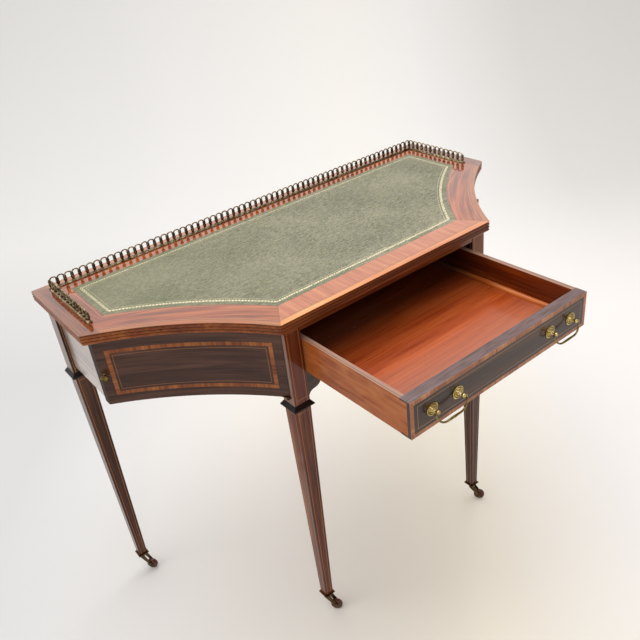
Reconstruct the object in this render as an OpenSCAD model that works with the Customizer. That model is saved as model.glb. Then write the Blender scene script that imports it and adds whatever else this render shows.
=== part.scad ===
// Writing table with concave cupboard corners, one frieze drawer and a brass gallery.
// Millimetres, +Z up, floor at z = 0, front towards -Y, centred on X.

/* [Table] */
// Width of the top along its back edge
table_w = 1040; // [960:1:1120]
// Depth of the top from back edge to front edge
table_d = 480; // [450:1:520]
// Height of the writing surface
table_h = 768; // [720:1:800]
// Depth of the straight short side of the top
short_side = 241; // [225:1:255]
// Width of the straight front edge of the top
front_w = 525; // [515:1:540]
// Depth of each concave corner of the top, measured from its chord
corner_rise = 24; // [18:1:28]

/* [Top] */
// Thickness of the veneer and of the leather let in beside it
veneer_t = 1; // [0.6:0.1:1.5]
// Thickness of the reeded top board under the veneer
board_t = 14; // [12:0.5:18]
// Thickness of the plain board below it
underboard_t = 6; // [4:0.5:8]
// Height of the upper reed of the edge, with the veneer
upper_reed_h = 8.5; // [6:0.5:9]
// Height of the quirk between the two reeds
quirk_h = 1; // [0.6:0.1:1.5]
// Depth of the quirk
quirk_d = 1.5; // [0.8:0.1:2]
// Distance from the edge of the top to the leather at the short sides
leather_side = 62; // [55:1:70]
// Distance from the front edge to the leather
leather_front = 57; // [50:1:65]
// Distance from the back edge to the leather
leather_back = 55; // [50:1:65]
// Distance from the concave edges to the leather
leather_corner = 61; // [55:1:68]

/* [Gallery] */
// Number of arches along the back
back_arches = 64; // [60:1:70]
// Number of arches along each side
side_arches = 12; // [8:1:12]
// Distance from the short sides of the top to the middle of the side galleries
gallery_side_in = 33.6; // [30:0.1:38]
// Distance from the back edge of the top to the middle of the back gallery
gallery_back_y = 26; // [22:1:34]
// Height of the gallery above the writing surface
gallery_h = 25; // [20:0.5:32]
// Width of the foot rail
gallery_rail_w = 9; // [6:0.5:12]
// Thickness of the foot rail
gallery_rail_t = 4; // [2:0.5:5]
// Thickness of the arched strip
gallery_t = 2.4; // [1.6:0.1:4]
// Width of the hoop of each arch
hoop_w = 2.2; // [1.4:0.1:3]
// Width of the posts between the arches
gallery_post_w = 6.2; // [3:0.1:8]

/* [Legs] */
// Width of each square leg at its block
leg_w = 34; // [30:1:36]
// Width of each square leg at its foot
foot_w = 18.5; // [17:0.5:24]
// Overhang of the top past the front faces of the front legs
front_overhang = 8; // [6:1:14]
// Distance between the two front legs
leg_opening = 441.6; // [420:0.1:450]
// Overhang of the top past the outer faces of the back legs
side_overhang = 9.5; // [6:0.5:14]
// Overhang of the top past the back faces of the back legs
back_overhang = 37; // [20:1:45]
// Height of the square block of the front legs below the top
front_block_h = 160; // [156:1:180]
// Height of the square block of the back legs below the top
back_block_h = 146; // [142:1:160]
// Height of the collar under each block
collar_h = 14; // [10:1:20]
// Distance that the collar stands out from the leg
collar_out = 6; // [3:0.5:8]
// Thickness of the flat lip of the collar
collar_lip = 2; // [1.5:0.5:4]
// Height of the bead under the collar
collar_bead_h = 3.5; // [2:0.5:5]
// Distance that the bead stands out from the leg
collar_bead_out = 2.2; // [1:0.1:3.5]

/* [Case] */
// Distance that the back and side panels lie behind the leg faces
panel_recess = 7.5; // [4:0.5:12]
// Thickness of the back panel, side panels and partitions
panel_t = 12; // [9:0.5:15]
// Height of the panels below the top
panel_h = 132; // [128:1:138]
// Thickness of the cupboard floors
floor_t = 10; // [6:0.5:14]
// Height of the thin rail over the drawer
top_rail_h = 12; // [8:1:16]
// Distance from the leg fronts back to the kicker rail, which is what the closed drawer front covers
kicker_rail_back = 23; // [22.5:0.5:30]
// Thickness of the kicker rail, front to back
kicker_rail_t = 20; // [14:1:26]
// Height of the kicker rail
kicker_rail_h = 26; // [20:1:27]
// Distance from the leg fronts back to the rail under the drawer
drawer_rail_back = 1; // [0:0.5:4]
// Depth of the rail under the drawer, front to back
drawer_rail_d = 45; // [40:1:60]
// Height of the rail under the drawer
drawer_rail_h = 28; // [24:1:32]
// Width of each shaped bracket under the rail
bracket_w = 31; // [22:1:32]
// Thickness of each bracket
bracket_t = 18; // [12:1:22]
// Width of the runners and kickers of the drawer
runner_w = 14; // [12:1:20]
// Height of the runners and kickers
runner_h = 14; // [10:1:20]

/* [Drawer] */
// Distance from the underside of the top to the drawer
drawer_drop = 29; // [28:1:32]
// Height of the drawer front
drawer_h = 70; // [64:1:74]
// Thickness of the drawer front
drawer_front_t = 22.5; // [19:0.5:22.5]
// Gap between the drawer front and each leg
drawer_end_gap = 0.8; // [0.5:0.1:2]
// Distance that the drawer sides lie inside the ends of the front
drawer_side_inset = 0.5; // [0.5:0.5:4]
// Thickness of the drawer front that laps over the ends of the drawer sides
drawer_lap = 7.5; // [4:0.5:12]
// Height of the drawer front above and below the ends of the drawer sides
drawer_lap_h = 3; // [2:0.5:6]
// Thickness of the drawer sides
drawer_side_t = 10; // [8:0.5:12]
// Thickness of the drawer back
drawer_back_t = 8; // [6:0.5:12]
// Thickness of the drawer bottom
drawer_bottom_t = 6; // [4:0.5:8]
// Height of the drawer bottom above the lower edge of the sides
drawer_bottom_up = 9; // [6:0.5:12]
// Radius of the quadrant slips inside the drawer
slip_r = 8; // [5:0.5:10]
// Length of the drawer from front to back
drawer_len = 406; // [380:1:406]
// Distance that the drawer stands open at rest
drawer_open = 264; // [0:1:340]
// Width of the crossbanding round the drawer front
drawer_band_w = 7.5; // [5:0.5:12]

/* [Doors] */
// Thickness of the curved doors
door_t = 15; // [12:0.5:18]
// Distance from the front corner of the short side back to the door
door_outer_back = 10; // [8:1:16]
// Distance from the leg front back to the door
door_leg_back = 9; // [6:1:12]
// Gap between the door and the leg
door_gap = 1.2; // [0.8:0.1:2.5]
// Depth of the curve of the door, measured from its chord
door_rise = 18; // [12:1:24]
// Gap between the door and the underside of the top
door_top_gap = 3.4; // [3:0.1:6]
// Height of the door
door_h = 138.6; // [130:0.2:142]
// Width of the crossbanding of the door
door_band_w = 9; // [6:0.5:12]
// Distance from the upper edge of the door to its crossbanding
door_band_in_top = 21.5; // [14:0.5:28]
// Distance from the lower edge of the door to its crossbanding
door_band_in_low = 18; // [14:0.5:28]
// Distance from the ends of the door to its crossbanding
door_band_in_end = 17.5; // [16:0.5:28]
// Distance from the outer end of the door to its knob
knob_in = 8; // [7:0.5:10]
// Distance from the middle height of the door down to its knob
knob_drop = 4; // [0:0.5:10]
// Radius of the door knob
knob_r = 6.8; // [4:0.1:7]

/* [Handles] */
// Distance from the middle of the drawer to the middle of each handle
handle_x = 145.5; // [110:0.5:160]
// Distance between the two posts of a handle
post_spacing = 57.6; // [50:0.1:70]
// Distance from the drawer front to the pivots of the bail
bail_stand = 12.4; // [11:0.1:16]
// Radius of the ball that holds the end of the bail
eye_r = 3.6; // [3:0.1:5]
// Radius of the bail wire
bail_r = 1.8; // [1.2:0.1:2]
// Drop of the bail below its pivots
bail_drop = 22.5; // [22:0.5:30]
// Radius of the lower corners of the bail
bail_corner_r = 20; // [10:0.5:21]
// Angle that the bails stand out from the drawer front at rest
bail_tilt = 17; // [0:1:30]
// Radius of the roses
rose_r = 12; // [9:0.5:14]

/* [Castors] */
// Radius of the castor wheels
wheel_r = 13; // [10:0.5:14]
// Width of the castor wheels
wheel_w = 10; // [8:0.5:14]
// Distance from the swivel axis back to the wheel axle
castor_trail = 19; // [14:0.5:24]
// Direction in which the castors trail, in degrees from +X
castor_heading = -51; // [-90:1:90]
// Height of the feet of the legs above the floor
foot_z = 51.5; // [50:0.5:60]
// Width of the square castor plates
plate_w = 25; // [21:0.5:28]
// Thickness of the castor plates
plate_t = 2.5; // [1.5:0.5:3]

/* [Hidden] */

// Cuts run this far past the faces that they open
overrun = 1;
// Glue line round pieces that are let into another piece of the same assembly
glue_line = 0.05;
// Running clearance between a pin and its hole, measured on the radius
running_gap = 0.05;
// Gap between sliding wooden faces
slide_gap = 0.4;
// Gap between neighbouring moving pieces that don't bear on each other
clear_gap = 0.4;
// Saw cut between two mitred strips
mitre_cut = 0.2;
// Facets of the preview of round pieces
$fn = 96;

// Heights of the top
top_z = table_h;
veneer_z = top_z - veneer_t;
board_z = veneer_z - board_t;
under_z = board_z - underboard_t;

// Top arc of the left corner, from the short side to the front
top_arc_start = [-table_w / 2, -short_side];
top_arc_end = [-front_w / 2, -table_d];

// Legs
leg_front_y = table_d - front_overhang;
front_leg_in = leg_opening / 2;
front_leg_out = front_leg_in + leg_w;
back_leg_out = table_w / 2 - side_overhang;
front_collar_z = under_z - front_block_h - collar_h;
back_collar_z = under_z - back_block_h - collar_h;
front_left = [-front_leg_in - leg_w / 2, -leg_front_y + leg_w / 2];
front_right = [-front_left.x, front_left.y];
back_left = [-back_leg_out + leg_w / 2, -back_overhang - leg_w / 2];
back_right = [-back_left.x, back_left.y];
legs = [front_left, front_right, back_left, back_right];

// Panels of the case
side_face_x = back_leg_out - panel_recess;
side_inner_x = side_face_x - panel_t;
back_face_y = -back_overhang - panel_recess;
back_inner_y = back_face_y - panel_t;
panel_z = under_z - panel_h;
partition_out = front_leg_in + panel_t;

// Drawer
drawer_top = under_z - drawer_drop;
drawer_z = drawer_top - drawer_h;
drawer_face_y = -leg_front_y - drawer_open;
drawer_inner_y = drawer_face_y + drawer_front_t;
drawer_back_y = drawer_face_y + drawer_len;
drawer_half = front_leg_in - drawer_end_gap;
drawer_side_x = drawer_half - drawer_side_inset;
drawer_inner_x = drawer_side_x - drawer_side_t;
drawer_floor_z = drawer_z + drawer_bottom_up + drawer_bottom_t;
drawer_back_down = 2;
rail_z = drawer_z - slide_gap;
rail_under = rail_z - drawer_rail_h;

// Drawer stops
stop_size = [30, 12, 3];
stop_x = 120;

// Handles
rose_step_t = 1.5;
rose_step_in = 3;
post_r = 2.8;
shank_r = 2;
pivot_r = 1.4;
pivot_end = 3;
bail_side_out = eye_r + bail_r + clear_gap;
bail_bead_r = 2.2;
bail_bead_l = 3;
nut_r = 4.5;
nut_t = 3;
handle_z = drawer_z + drawer_h / 2;
pivot_y = drawer_face_y - bail_stand;
handle_reach = bail_stand + max(eye_r, bail_drop * sin(bail_tilt) + bail_bead_r);

// Left door, from its outer end to its end at the leg
door_start = [-side_face_x, -short_side + door_outer_back];
door_end = [-front_leg_out - door_gap, -leg_front_y + door_leg_back];
door_top = under_z - door_top_gap;
door_z = door_top - door_h;

// Hinges of the doors
pivot_side = 4.5;
pivot_in = 2;
hinge_pin_r = 1.5;
hinge_end_r = 3.2;
hinge_arm_half = 2.6;
hinge_leaf_t = 2.5;
hinge_leaf_l = 30;
hinge_tongue = 12;
pivot_place = [-front_leg_out - pivot_side, door_end.y + pivot_in];

// Door knob
knob_neck_r = 2.8;
knob_neck_l = 8;
knob_disc_t = 4;

// Gallery
gallery_x = table_w / 2 - gallery_side_in;
arch_pitch = gallery_x * 2 / back_arches;
gallery_end_y = gallery_back_y + side_arches * arch_pitch;
gallery_spring = gallery_h - arch_pitch / 2;
gallery_tail = 5;
pin_r = 1;
pin_head_r = 1.5;
pin_head_t = 0.6;
pin_depth = 10;
pin_bays = 8;

// Castors
swivel_r = 4;
swivel_head_r = 4.9;
swivel_head_t = 1.5;
horn_boss_r = 8;
horn_boss_h = 8;
horn_arm_t = 2.6;
horn_arm_gap = 0.4;
axle_r = 2;
axle_head_r = 3.2;
axle_head_t = 1;
tread_round = 2.5;
screw_r = 1.3;
screw_head_r = 2.4;
screw_head_t = 1.4;
screw_l = 12;
screw_place = 6.2;
horn_top = foot_z - plate_t - clear_gap;
horn_under = horn_top - horn_boss_h;

// The origin lies under the middle of the depth, with the drawer as it stands at rest
origin_shift = (leg_front_y + drawer_open + handle_reach) / 2;

// Radius of an arc with ends p and q and the given rise
function arc_radius(p, q, rise) = norm(q - p) * norm(q - p) / 8 / rise + rise / 2;

// Centre of the same arc, in front of the left corner
function arc_centre(p, q, rise) =
    let (way = (q - p) / norm(q - p))
    (p + q) / 2 + (arc_radius(p, q, rise) - rise) * [way.y, -way.x];

top_arc_r = arc_radius(top_arc_start, top_arc_end, corner_rise);
top_arc_c = arc_centre(top_arc_start, top_arc_end, corner_rise);
door_r = arc_radius(door_start, door_end, door_rise);
door_c = arc_centre(door_start, door_end, door_rise);
door_back_r = door_r + door_t + clear_gap;

// Direction of a point from the centre of the door arc, in degrees
function door_angle(p) = atan2(p.y - door_c.y, p.x - door_c.x);

// Angle that a length along the door face takes up
function door_turn(length) = length / door_r * 180 / PI;

door_start_a = door_angle(door_start);
door_end_a = door_angle(door_end);

module placed() {
    translate([0, origin_shift, 0]) children();
}

// Draws a left hand piece, or its mirror image on the right
module on_side(side) {
    if (side > 0) mirror([1, 0, 0]) children();
    else children();
}

module both_sides() {
    for (side = [-1, 1]) on_side(side) children();
}

// Box between two corners, given in any order of X
module span(low, high) {
    translate(low) cube(high - low);
}

// Outline of the top, drawn in by the given distances
module top_plan(side, back, front, corner) {
    half = table_w / 2 - side;
    difference() {
        polygon([[-half, -table_d + front], [half, -table_d + front], [half, -back], [-half, -back]]);
        for (way = [-1, 1])
            translate([-top_arc_c.x * way, top_arc_c.y]) circle(r = top_arc_r + corner, $fn = 360);
    }
}

module top_slab(z, h, inset) {
    translate([0, 0, z]) linear_extrude(h) top_plan(inset, inset, inset, inset);
}

// Places of the pins that hold the gallery down
module pin_places() {
    for (i = [pin_bays / 2 : pin_bays : back_arches])
        translate([(i - back_arches / 2) * arch_pitch, -gallery_back_y - pin_off()]) children();
    for (way = [-1, 1])
        for (j = [pin_bays / 4 : pin_bays : side_arches])
            translate([way * (gallery_x - pin_off()), -gallery_back_y - j * arch_pitch]) children();
}

// The pins stand in the foot rail beside the arched strip
function pin_off() = (gallery_rail_w + gallery_t) / 4;

module pin_bores() {
    pin_places() translate([0, 0, top_z - pin_depth])
        cylinder(r = pin_r + glue_line, h = pin_depth + gallery_rail_t + overrun, $fn = 24);
}

module top_board() {
    reed_z = top_z - upper_reed_h;
    color("sienna") difference() {
        union() {
            top_slab(reed_z, veneer_z - reed_z, 0);
            top_slab(reed_z - quirk_h, quirk_h, quirk_d);
            top_slab(board_z, reed_z - quirk_h - board_z, 0);
        }
        pin_bores();
    }
}

module top_underboard() {
    color("saddlebrown") top_slab(under_z, underboard_t, quirk_d);
}

module leather_plan(grow = 0) {
    top_plan(leather_side - grow, leather_back - grow, leather_front - grow, leather_corner - grow);
}

// Saw cut from a corner of the top to the matching corner of the leather
module mitre(outer, inner) {
    way = inner - outer;
    length = norm(way);
    translate(outer) rotate(atan2(way.y, way.x))
        translate([-length / 4, -mitre_cut / 2]) square([length * 1.5, mitre_cut]);
}

// Point where an arc of the given inset meets a line along Y or X
function arc_at_x(x, inset) = [x, top_arc_c.y + sqrt(pow(top_arc_r + inset, 2) - pow(x - top_arc_c.x, 2))];
function arc_at_y(y, inset) = [top_arc_c.x + sqrt(pow(top_arc_r + inset, 2) - pow(y - top_arc_c.y, 2)), y];

module mitres() {
    mitre([-table_w / 2, 0], [-table_w / 2 + leather_side, -leather_back]);
    mitre(top_arc_start, arc_at_x(-table_w / 2 + leather_side, leather_corner));
    mitre(top_arc_end, arc_at_y(-table_d + leather_front, leather_corner));
}

module top_crossbanding() {
    color("peru") difference() {
        translate([0, 0, veneer_z]) linear_extrude(veneer_t) difference() {
            top_plan(0, 0, 0, 0);
            leather_plan(glue_line);
            mitres();
            mirror([1, 0]) mitres();
        }
        pin_bores();
    }
}

module leather_skiver() {
    color("darkolivegreen") translate([0, 0, veneer_z]) linear_extrude(veneer_t) leather_plan();
}

// Elevation of the arched strip: round hoops on posts
module arch_row(count) {
    hoop_r = arch_pitch / 2;
    for (i = [0 : count - 1])
        translate([(i + 1 / 2) * arch_pitch, gallery_spring]) difference() {
            circle(r = hoop_r);
            circle(r = hoop_r - hoop_w);
            translate([-hoop_r, -hoop_r * 2]) square([hoop_r * 2, hoop_r * 2]);
        }
    for (i = [0 : count])
        translate([i * arch_pitch - gallery_post_w / 2, 0])
            square([gallery_post_w, gallery_spring + hoop_w]);
}

module arched_strip(count) {
    translate([0, gallery_t / 2, 0]) rotate([90, 0, 0]) linear_extrude(gallery_t) arch_row(count);
}

module gallery_back() {
    rail_half = gallery_x + gallery_rail_w / 2;
    color("darkgoldenrod") difference() {
        translate([0, -gallery_back_y, top_z]) {
            span([-rail_half, -gallery_rail_w / 2, 0], [rail_half, gallery_rail_w / 2, gallery_rail_t]);
            translate([-gallery_x, 0, 0]) arched_strip(back_arches);
        }
        pin_bores();
    }
}

module gallery_side(side) {
    start_y = -gallery_back_y - gallery_rail_w / 2 - glue_line;
    color("darkgoldenrod") on_side(side) difference() {
        union() {
            span([-gallery_x - gallery_rail_w / 2, -gallery_end_y - gallery_tail, top_z],
                 [-gallery_x + gallery_rail_w / 2, start_y, top_z + gallery_rail_t]);
            intersection() {
                translate([-gallery_x, -gallery_back_y, top_z]) rotate(-90) arched_strip(side_arches);
                span([-gallery_x - gallery_rail_w, -gallery_end_y - gallery_tail, top_z],
                     [-gallery_x + gallery_rail_w, -gallery_back_y - gallery_post_w / 2 - glue_line,
                      top_z + gallery_h + overrun]);
            }
        }
        pin_bores();
    }
}

module gallery_pins() {
    color("goldenrod") pin_places() {
        translate([0, 0, top_z - pin_depth])
            cylinder(r = pin_r, h = pin_depth + gallery_rail_t, $fn = 24);
        translate([0, 0, top_z + gallery_rail_t]) cylinder(r = pin_head_r, h = pin_head_t, $fn = 24);
    }
}

module castor_screw_places() {
    for (x = [-screw_place, screw_place], y = [-screw_place, screw_place])
        translate([x, y, 0]) children();
}

// Leg with its square block, tapered shaft and the pilot holes in its foot
module leg_stick(collar_z) {
    difference() {
        union() {
            translate([-leg_w / 2, -leg_w / 2, collar_z]) cube([leg_w, leg_w, under_z - collar_z]);
            translate([0, 0, collar_z]) mirror([0, 0, 1])
                linear_extrude(collar_z - foot_z, scale = foot_w / leg_w) square(leg_w, center = true);
        }
        castor_screw_places() translate([0, 0, foot_z - overrun])
            cylinder(r = screw_r + glue_line, h = screw_l + overrun, $fn = 24);
    }
}

// Plate of a hinge leaf on the leg, in plan, from the pivot into the leg
module leg_leaf_plan(grow = 0) {
    translate(pivot_place) {
        circle(r = hinge_end_r, $fn = 32);
        translate([0, -hinge_arm_half - grow])
            square([pivot_side + hinge_tongue + grow, hinge_arm_half * 2 + grow * 2]);
    }
}

leg_leaf_heights = [under_z - hinge_leaf_t, door_z - clear_gap - hinge_leaf_t];

module leg_leaf_slots() {
    for (z = leg_leaf_heights)
        translate([0, 0, z - glue_line]) linear_extrude(hinge_leaf_t + glue_line * 2)
            leg_leaf_plan(glue_line);
}

module front_leg(side) {
    color("saddlebrown") on_side(side) difference() {
        translate(front_left) leg_stick(front_collar_z);
        leg_leaf_slots();
    }
}

module back_leg(side) {
    color("saddlebrown") on_side(side) translate(back_left) leg_stick(back_collar_z);
}

// Four sided slope between two square sections
module square_slope(low_w, high_w, h) {
    linear_extrude(h, scale = high_w / low_w) square(low_w, center = true);
}

// Square frame round the leg, made from the given solid
module round_leg(h) {
    difference() {
        children();
        translate([-leg_w / 2, -leg_w / 2, -overrun]) cube([leg_w, leg_w, h + overrun * 2]);
    }
}

// Puts a frame round each of the four legs, at the given height above the underside of its collar
module on_collars(up = 0) {
    for (place = [front_left, front_right]) translate([place.x, place.y, front_collar_z + up]) children();
    for (place = [back_left, back_right]) translate([place.x, place.y, back_collar_z + up]) children();
}

module leg_collars() {
    lip_w = leg_w + collar_out * 2;
    slope_h = collar_h - collar_lip - collar_bead_h;
    color("black") on_collars(collar_bead_h) round_leg(collar_lip + slope_h) {
        square_slope(lip_w, lip_w, collar_lip);
        translate([0, 0, collar_lip]) square_slope(lip_w, leg_w, slope_h);
    }
}

module collar_beads() {
    bead_w = leg_w + collar_bead_out * 2;
    color("saddlebrown") on_collars() round_leg(collar_bead_h)
        square_slope(bead_w, bead_w, collar_bead_h);
}

module back_panel() {
    half = back_leg_out - leg_w;
    color("saddlebrown") span([-half, back_inner_y, panel_z], [half, back_face_y, under_z]);
}

// Space on the hinge side of the door, from its inner face outwards
module behind_door() {
    translate([door_c.x, door_c.y, panel_z - overrun])
        cylinder(r = door_back_r, h = panel_h + overrun * 2, $fn = 360);
}

module side_panel(side) {
    color("saddlebrown") on_side(side) difference() {
        span([-side_face_x, -short_side, panel_z],
             [-side_inner_x, -back_overhang - leg_w, under_z]);
        behind_door();
    }
}

module partition(side) {
    color("sienna") on_side(side)
        span([-partition_out, -leg_front_y + leg_w, panel_z], [-front_leg_in, back_inner_y, under_z]);
}

module cupboard_floor(side) {
    color("sienna") on_side(side) difference() {
        span([-side_inner_x, -leg_front_y + leg_w, panel_z],
             [-partition_out, back_inner_y, panel_z + floor_t]);
        behind_door();
        span([-side_inner_x - overrun, -back_overhang - leg_w, panel_z - overrun],
             [-back_leg_out + leg_w, back_inner_y + overrun, panel_z + floor_t + overrun]);
    }
}

module top_rail() {
    color("saddlebrown") span([-front_leg_in, -leg_front_y + drawer_rail_back, under_z - top_rail_h],
                              [front_leg_in, -leg_front_y + kicker_rail_back, under_z]);
}

module kicker_rail() {
    front_y = -leg_front_y + kicker_rail_back;
    color("burlywood") span([-front_leg_in, front_y, under_z - kicker_rail_h],
                            [front_leg_in, front_y + kicker_rail_t, under_z]);
}

module drawer_rail() {
    front_y = -leg_front_y + drawer_rail_back;
    color("saddlebrown") span([-front_leg_in, front_y, rail_under],
                              [front_leg_in, front_y + drawer_rail_d, rail_z]);
}

// Ogee bracket: a hollow below and a round above, both with half the width as radius
module bracket_profile() {
    r = bracket_w / 2;
    translate([0, -r]) square(r);
    translate([r, 0]) intersection() {
        circle(r = r);
        translate([0, -r]) square(r);
    }
    difference() {
        translate([0, -r * 2]) square(r);
        translate([r, -r * 2]) circle(r = r);
    }
}

module rail_brackets() {
    color("saddlebrown") both_sides()
        translate([-front_leg_in, -leg_front_y + drawer_rail_back + bracket_t, rail_under])
            rotate([90, 0, 0]) linear_extrude(bracket_t) bracket_profile();
}

module drawer_runners() {
    front_y = -leg_front_y + drawer_rail_back + drawer_rail_d;
    color("burlywood") both_sides()
        span([-front_leg_in, front_y, rail_z - runner_h], [-front_leg_in + runner_w, back_inner_y, rail_z]);
}

module drawer_kickers() {
    front_y = -leg_front_y + kicker_rail_back + kicker_rail_t;
    under = drawer_top + slide_gap * 2;
    color("burlywood") both_sides()
        span([-front_leg_in, front_y, under], [-front_leg_in + runner_w, back_inner_y, under + runner_h]);
}

module drawer_stops() {
    stop_y = -leg_front_y + drawer_front_t + clear_gap;
    color("burlywood") for (x = [-stop_x, stop_x])
        translate([x - stop_size.x / 2, stop_y, rail_z]) cube(stop_size);
}

// Hinge leaves on the front legs, each with its pin
module leg_leaves() {
    for (z = leg_leaf_heights)
        translate([0, 0, z]) linear_extrude(hinge_leaf_t) leg_leaf_plan();
    translate([pivot_place.x, pivot_place.y, door_z - clear_gap - hinge_leaf_t / 2])
        cylinder(r = hinge_pin_r, h = hinge_leaf_t * 3 / 2, $fn = 32);
    translate([pivot_place.x, pivot_place.y, door_top - hinge_leaf_t + clear_gap])
        cylinder(r = hinge_pin_r, h = under_z - hinge_leaf_t / 2 - door_top + hinge_leaf_t - clear_gap,
                 $fn = 32);
}

module hinge_leg_leaves() {
    color("goldenrod") both_sides() leg_leaves();
}

// Plate of a hinge leaf on the door, in plan, from the pivot along the door
module door_leaf_plan(grow = 0) {
    turn = door_end_a - door_turn(-hinge_leaf_l);
    mid_r = door_r + door_t / 2;
    tip = door_c + mid_r * [cos(turn), sin(turn)];
    way = tip - pivot_place;
    translate(pivot_place) {
        circle(r = hinge_end_r + grow, $fn = 32);
        rotate(atan2(way.y, way.x)) translate([0, -hinge_arm_half - grow])
            square([norm(way) + grow, hinge_arm_half * 2 + grow * 2]);
    }
}

door_leaf_heights = [door_z, door_top - hinge_leaf_t];

module door_hinge_leaves(side) {
    color("goldenrod") on_side(side) for (z = door_leaf_heights) difference() {
        translate([0, 0, z]) linear_extrude(hinge_leaf_t) door_leaf_plan();
        translate([pivot_place.x, pivot_place.y, z - overrun])
            cylinder(r = hinge_pin_r + running_gap, h = hinge_leaf_t + overrun * 2, $fn = 32);
    }
}

module door_leaf_recesses() {
    for (z = [door_z - overrun, door_top - hinge_leaf_t - glue_line])
        translate([0, 0, z]) linear_extrude(hinge_leaf_t + overrun + glue_line) door_leaf_plan(glue_line);
}

// Curved slice of the door face between two angles, two heights and two depths
module door_slice(start_a, end_a, low_z, high_z, front_d, back_d) {
    translate([door_c.x, door_c.y, low_z]) rotate(end_a)
        rotate_extrude(angle = start_a - end_a, $fn = 720)
            translate([door_r + front_d, 0]) square([back_d - front_d, high_z - low_z]);
}

// Rectangular ring on the door face, drawn in by a distance from the crossbanding's outer edge
module door_ring(inset, width, depth) {
    far = inset + width;
    start_a = door_start_a - door_turn(door_band_in_end);
    end_a = door_end_a + door_turn(door_band_in_end);
    low_z = door_z + door_band_in_low;
    high_z = door_top - door_band_in_top;
    difference() {
        door_slice(start_a - door_turn(inset), end_a + door_turn(inset),
                   low_z + inset, high_z - inset, -overrun, depth);
        door_slice(start_a - door_turn(far), end_a + door_turn(far),
                   low_z + far, high_z - far, -overrun * 2, depth + overrun);
    }
}

function knob_angle() = door_start_a - door_turn(knob_in);
function knob_foot() = door_c + door_r * [cos(knob_angle()), sin(knob_angle())];
knob_z = (door_z + door_top) / 2 - knob_drop;
knob_screw_r = 1.5;
knob_screw_l = 10;

// Draws children at the knob's seat, with +Z out of the door
module at_knob() {
    translate([knob_foot().x, knob_foot().y, knob_z]) rotate([0, 0, knob_angle()])
        rotate([0, -90, 0]) children();
}

module door(side) {
    color("saddlebrown") on_side(side) difference() {
        translate([0, 0, door_z]) linear_extrude(door_h) intersection() {
            translate(door_c) difference() {
                circle(r = door_r + door_t, $fn = 720);
                circle(r = door_r, $fn = 720);
            }
            translate([-side_face_x, -leg_front_y])
                square([door_end.x + side_face_x, leg_front_y]);
        }
        door_leaf_recesses();
        door_ring(0, door_band_w, veneer_t);
        at_knob() translate([0, 0, -knob_screw_l])
            cylinder(r = knob_screw_r + glue_line, h = knob_screw_l + overrun, $fn = 24);
    }
}

module door_crossband(side) {
    color("peru") on_side(side) intersection() {
        door_ring(glue_line, door_band_w - glue_line * 2, veneer_t - glue_line);
        door_slice(door_start_a, door_end_a, door_z, door_top, 0, door_t);
    }
}

module door_knob(side) {
    color("goldenrod") on_side(side) at_knob() {
        translate([0, 0, -knob_screw_l])
            cylinder(r = knob_screw_r, h = knob_screw_l + knob_neck_l, $fn = 24);
        cylinder(r = knob_neck_r, h = knob_neck_l, $fn = 32);
        translate([0, 0, knob_neck_l]) cylinder(r = knob_r, h = knob_disc_t, $fn = 48);
        translate([0, 0, knob_neck_l + knob_disc_t])
            cylinder(r = knob_r * 3 / 4, h = knob_disc_t / 4, $fn = 48);
    }
}

module handle_places() {
    for (x = [-handle_x, handle_x], way = [-1, 1])
        translate([x + way * post_spacing / 2, drawer_face_y, handle_z]) rotate([90, 0, 0]) children();
}

module drawer_front_blank() {
    span([-drawer_half, drawer_face_y, drawer_z], [drawer_half, drawer_inner_y, drawer_top]);
}

module drawer_band_zone(inset) {
    span([-drawer_half + inset, drawer_face_y - overrun, drawer_z + inset],
         [drawer_half - inset, drawer_face_y + veneer_t, drawer_top - inset]);
}

// Tongue of the left drawer side, housed in the end of the drawer front
module drawer_tongue(out_x) {
    span([-out_x, drawer_face_y + drawer_lap, drawer_z + drawer_lap_h],
         [-drawer_inner_x, drawer_inner_y, drawer_top - drawer_lap_h]);
}

module drawer_front() {
    color("saddlebrown") difference() {
        drawer_front_blank();
        both_sides() drawer_tongue(drawer_half + overrun);
        difference() {
            drawer_band_zone(-overrun);
            drawer_band_zone(drawer_band_w);
        }
        handle_places() translate([0, 0, -drawer_front_t - overrun])
            cylinder(r = shank_r + glue_line, h = drawer_front_t + overrun * 2, $fn = 32);
    }
}

// Crossbanding strip along one edge of the drawer front, with mitred ends
module drawer_band_strip(length) {
    translate([0, veneer_t, 0]) rotate([90, 0, 0]) linear_extrude(veneer_t)
        polygon([[-length / 2 + mitre_cut, 0], [length / 2 - mitre_cut, 0],
                 [length / 2 - drawer_band_w - mitre_cut, drawer_band_w],
                 [-length / 2 + drawer_band_w + mitre_cut, drawer_band_w]]);
}

module drawer_front_banding() {
    color("peru") translate([0, drawer_face_y, handle_z]) {
        for (turn = [0, 180]) rotate([0, turn, 0])
            translate([0, 0, -drawer_h / 2]) drawer_band_strip(drawer_half * 2);
        for (turn = [90, 270]) rotate([0, turn, 0])
            translate([0, 0, -drawer_half]) drawer_band_strip(drawer_h);
    }
}

module drawer_side(side) {
    color("peru") on_side(side) union() {
        span([-drawer_side_x, drawer_inner_y, drawer_z], [-drawer_inner_x, drawer_back_y, drawer_top]);
        drawer_tongue(drawer_side_x);
    }
}

module drawer_back() {
    color("peru") span([-drawer_inner_x, drawer_back_y - drawer_back_t, drawer_floor_z],
                       [drawer_inner_x, drawer_back_y, drawer_top - drawer_back_down]);
}

module drawer_bottom() {
    color("chocolate") span([-drawer_inner_x, drawer_inner_y, drawer_floor_z - drawer_bottom_t],
                            [drawer_inner_x, drawer_back_y, drawer_floor_z]);
}

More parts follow.
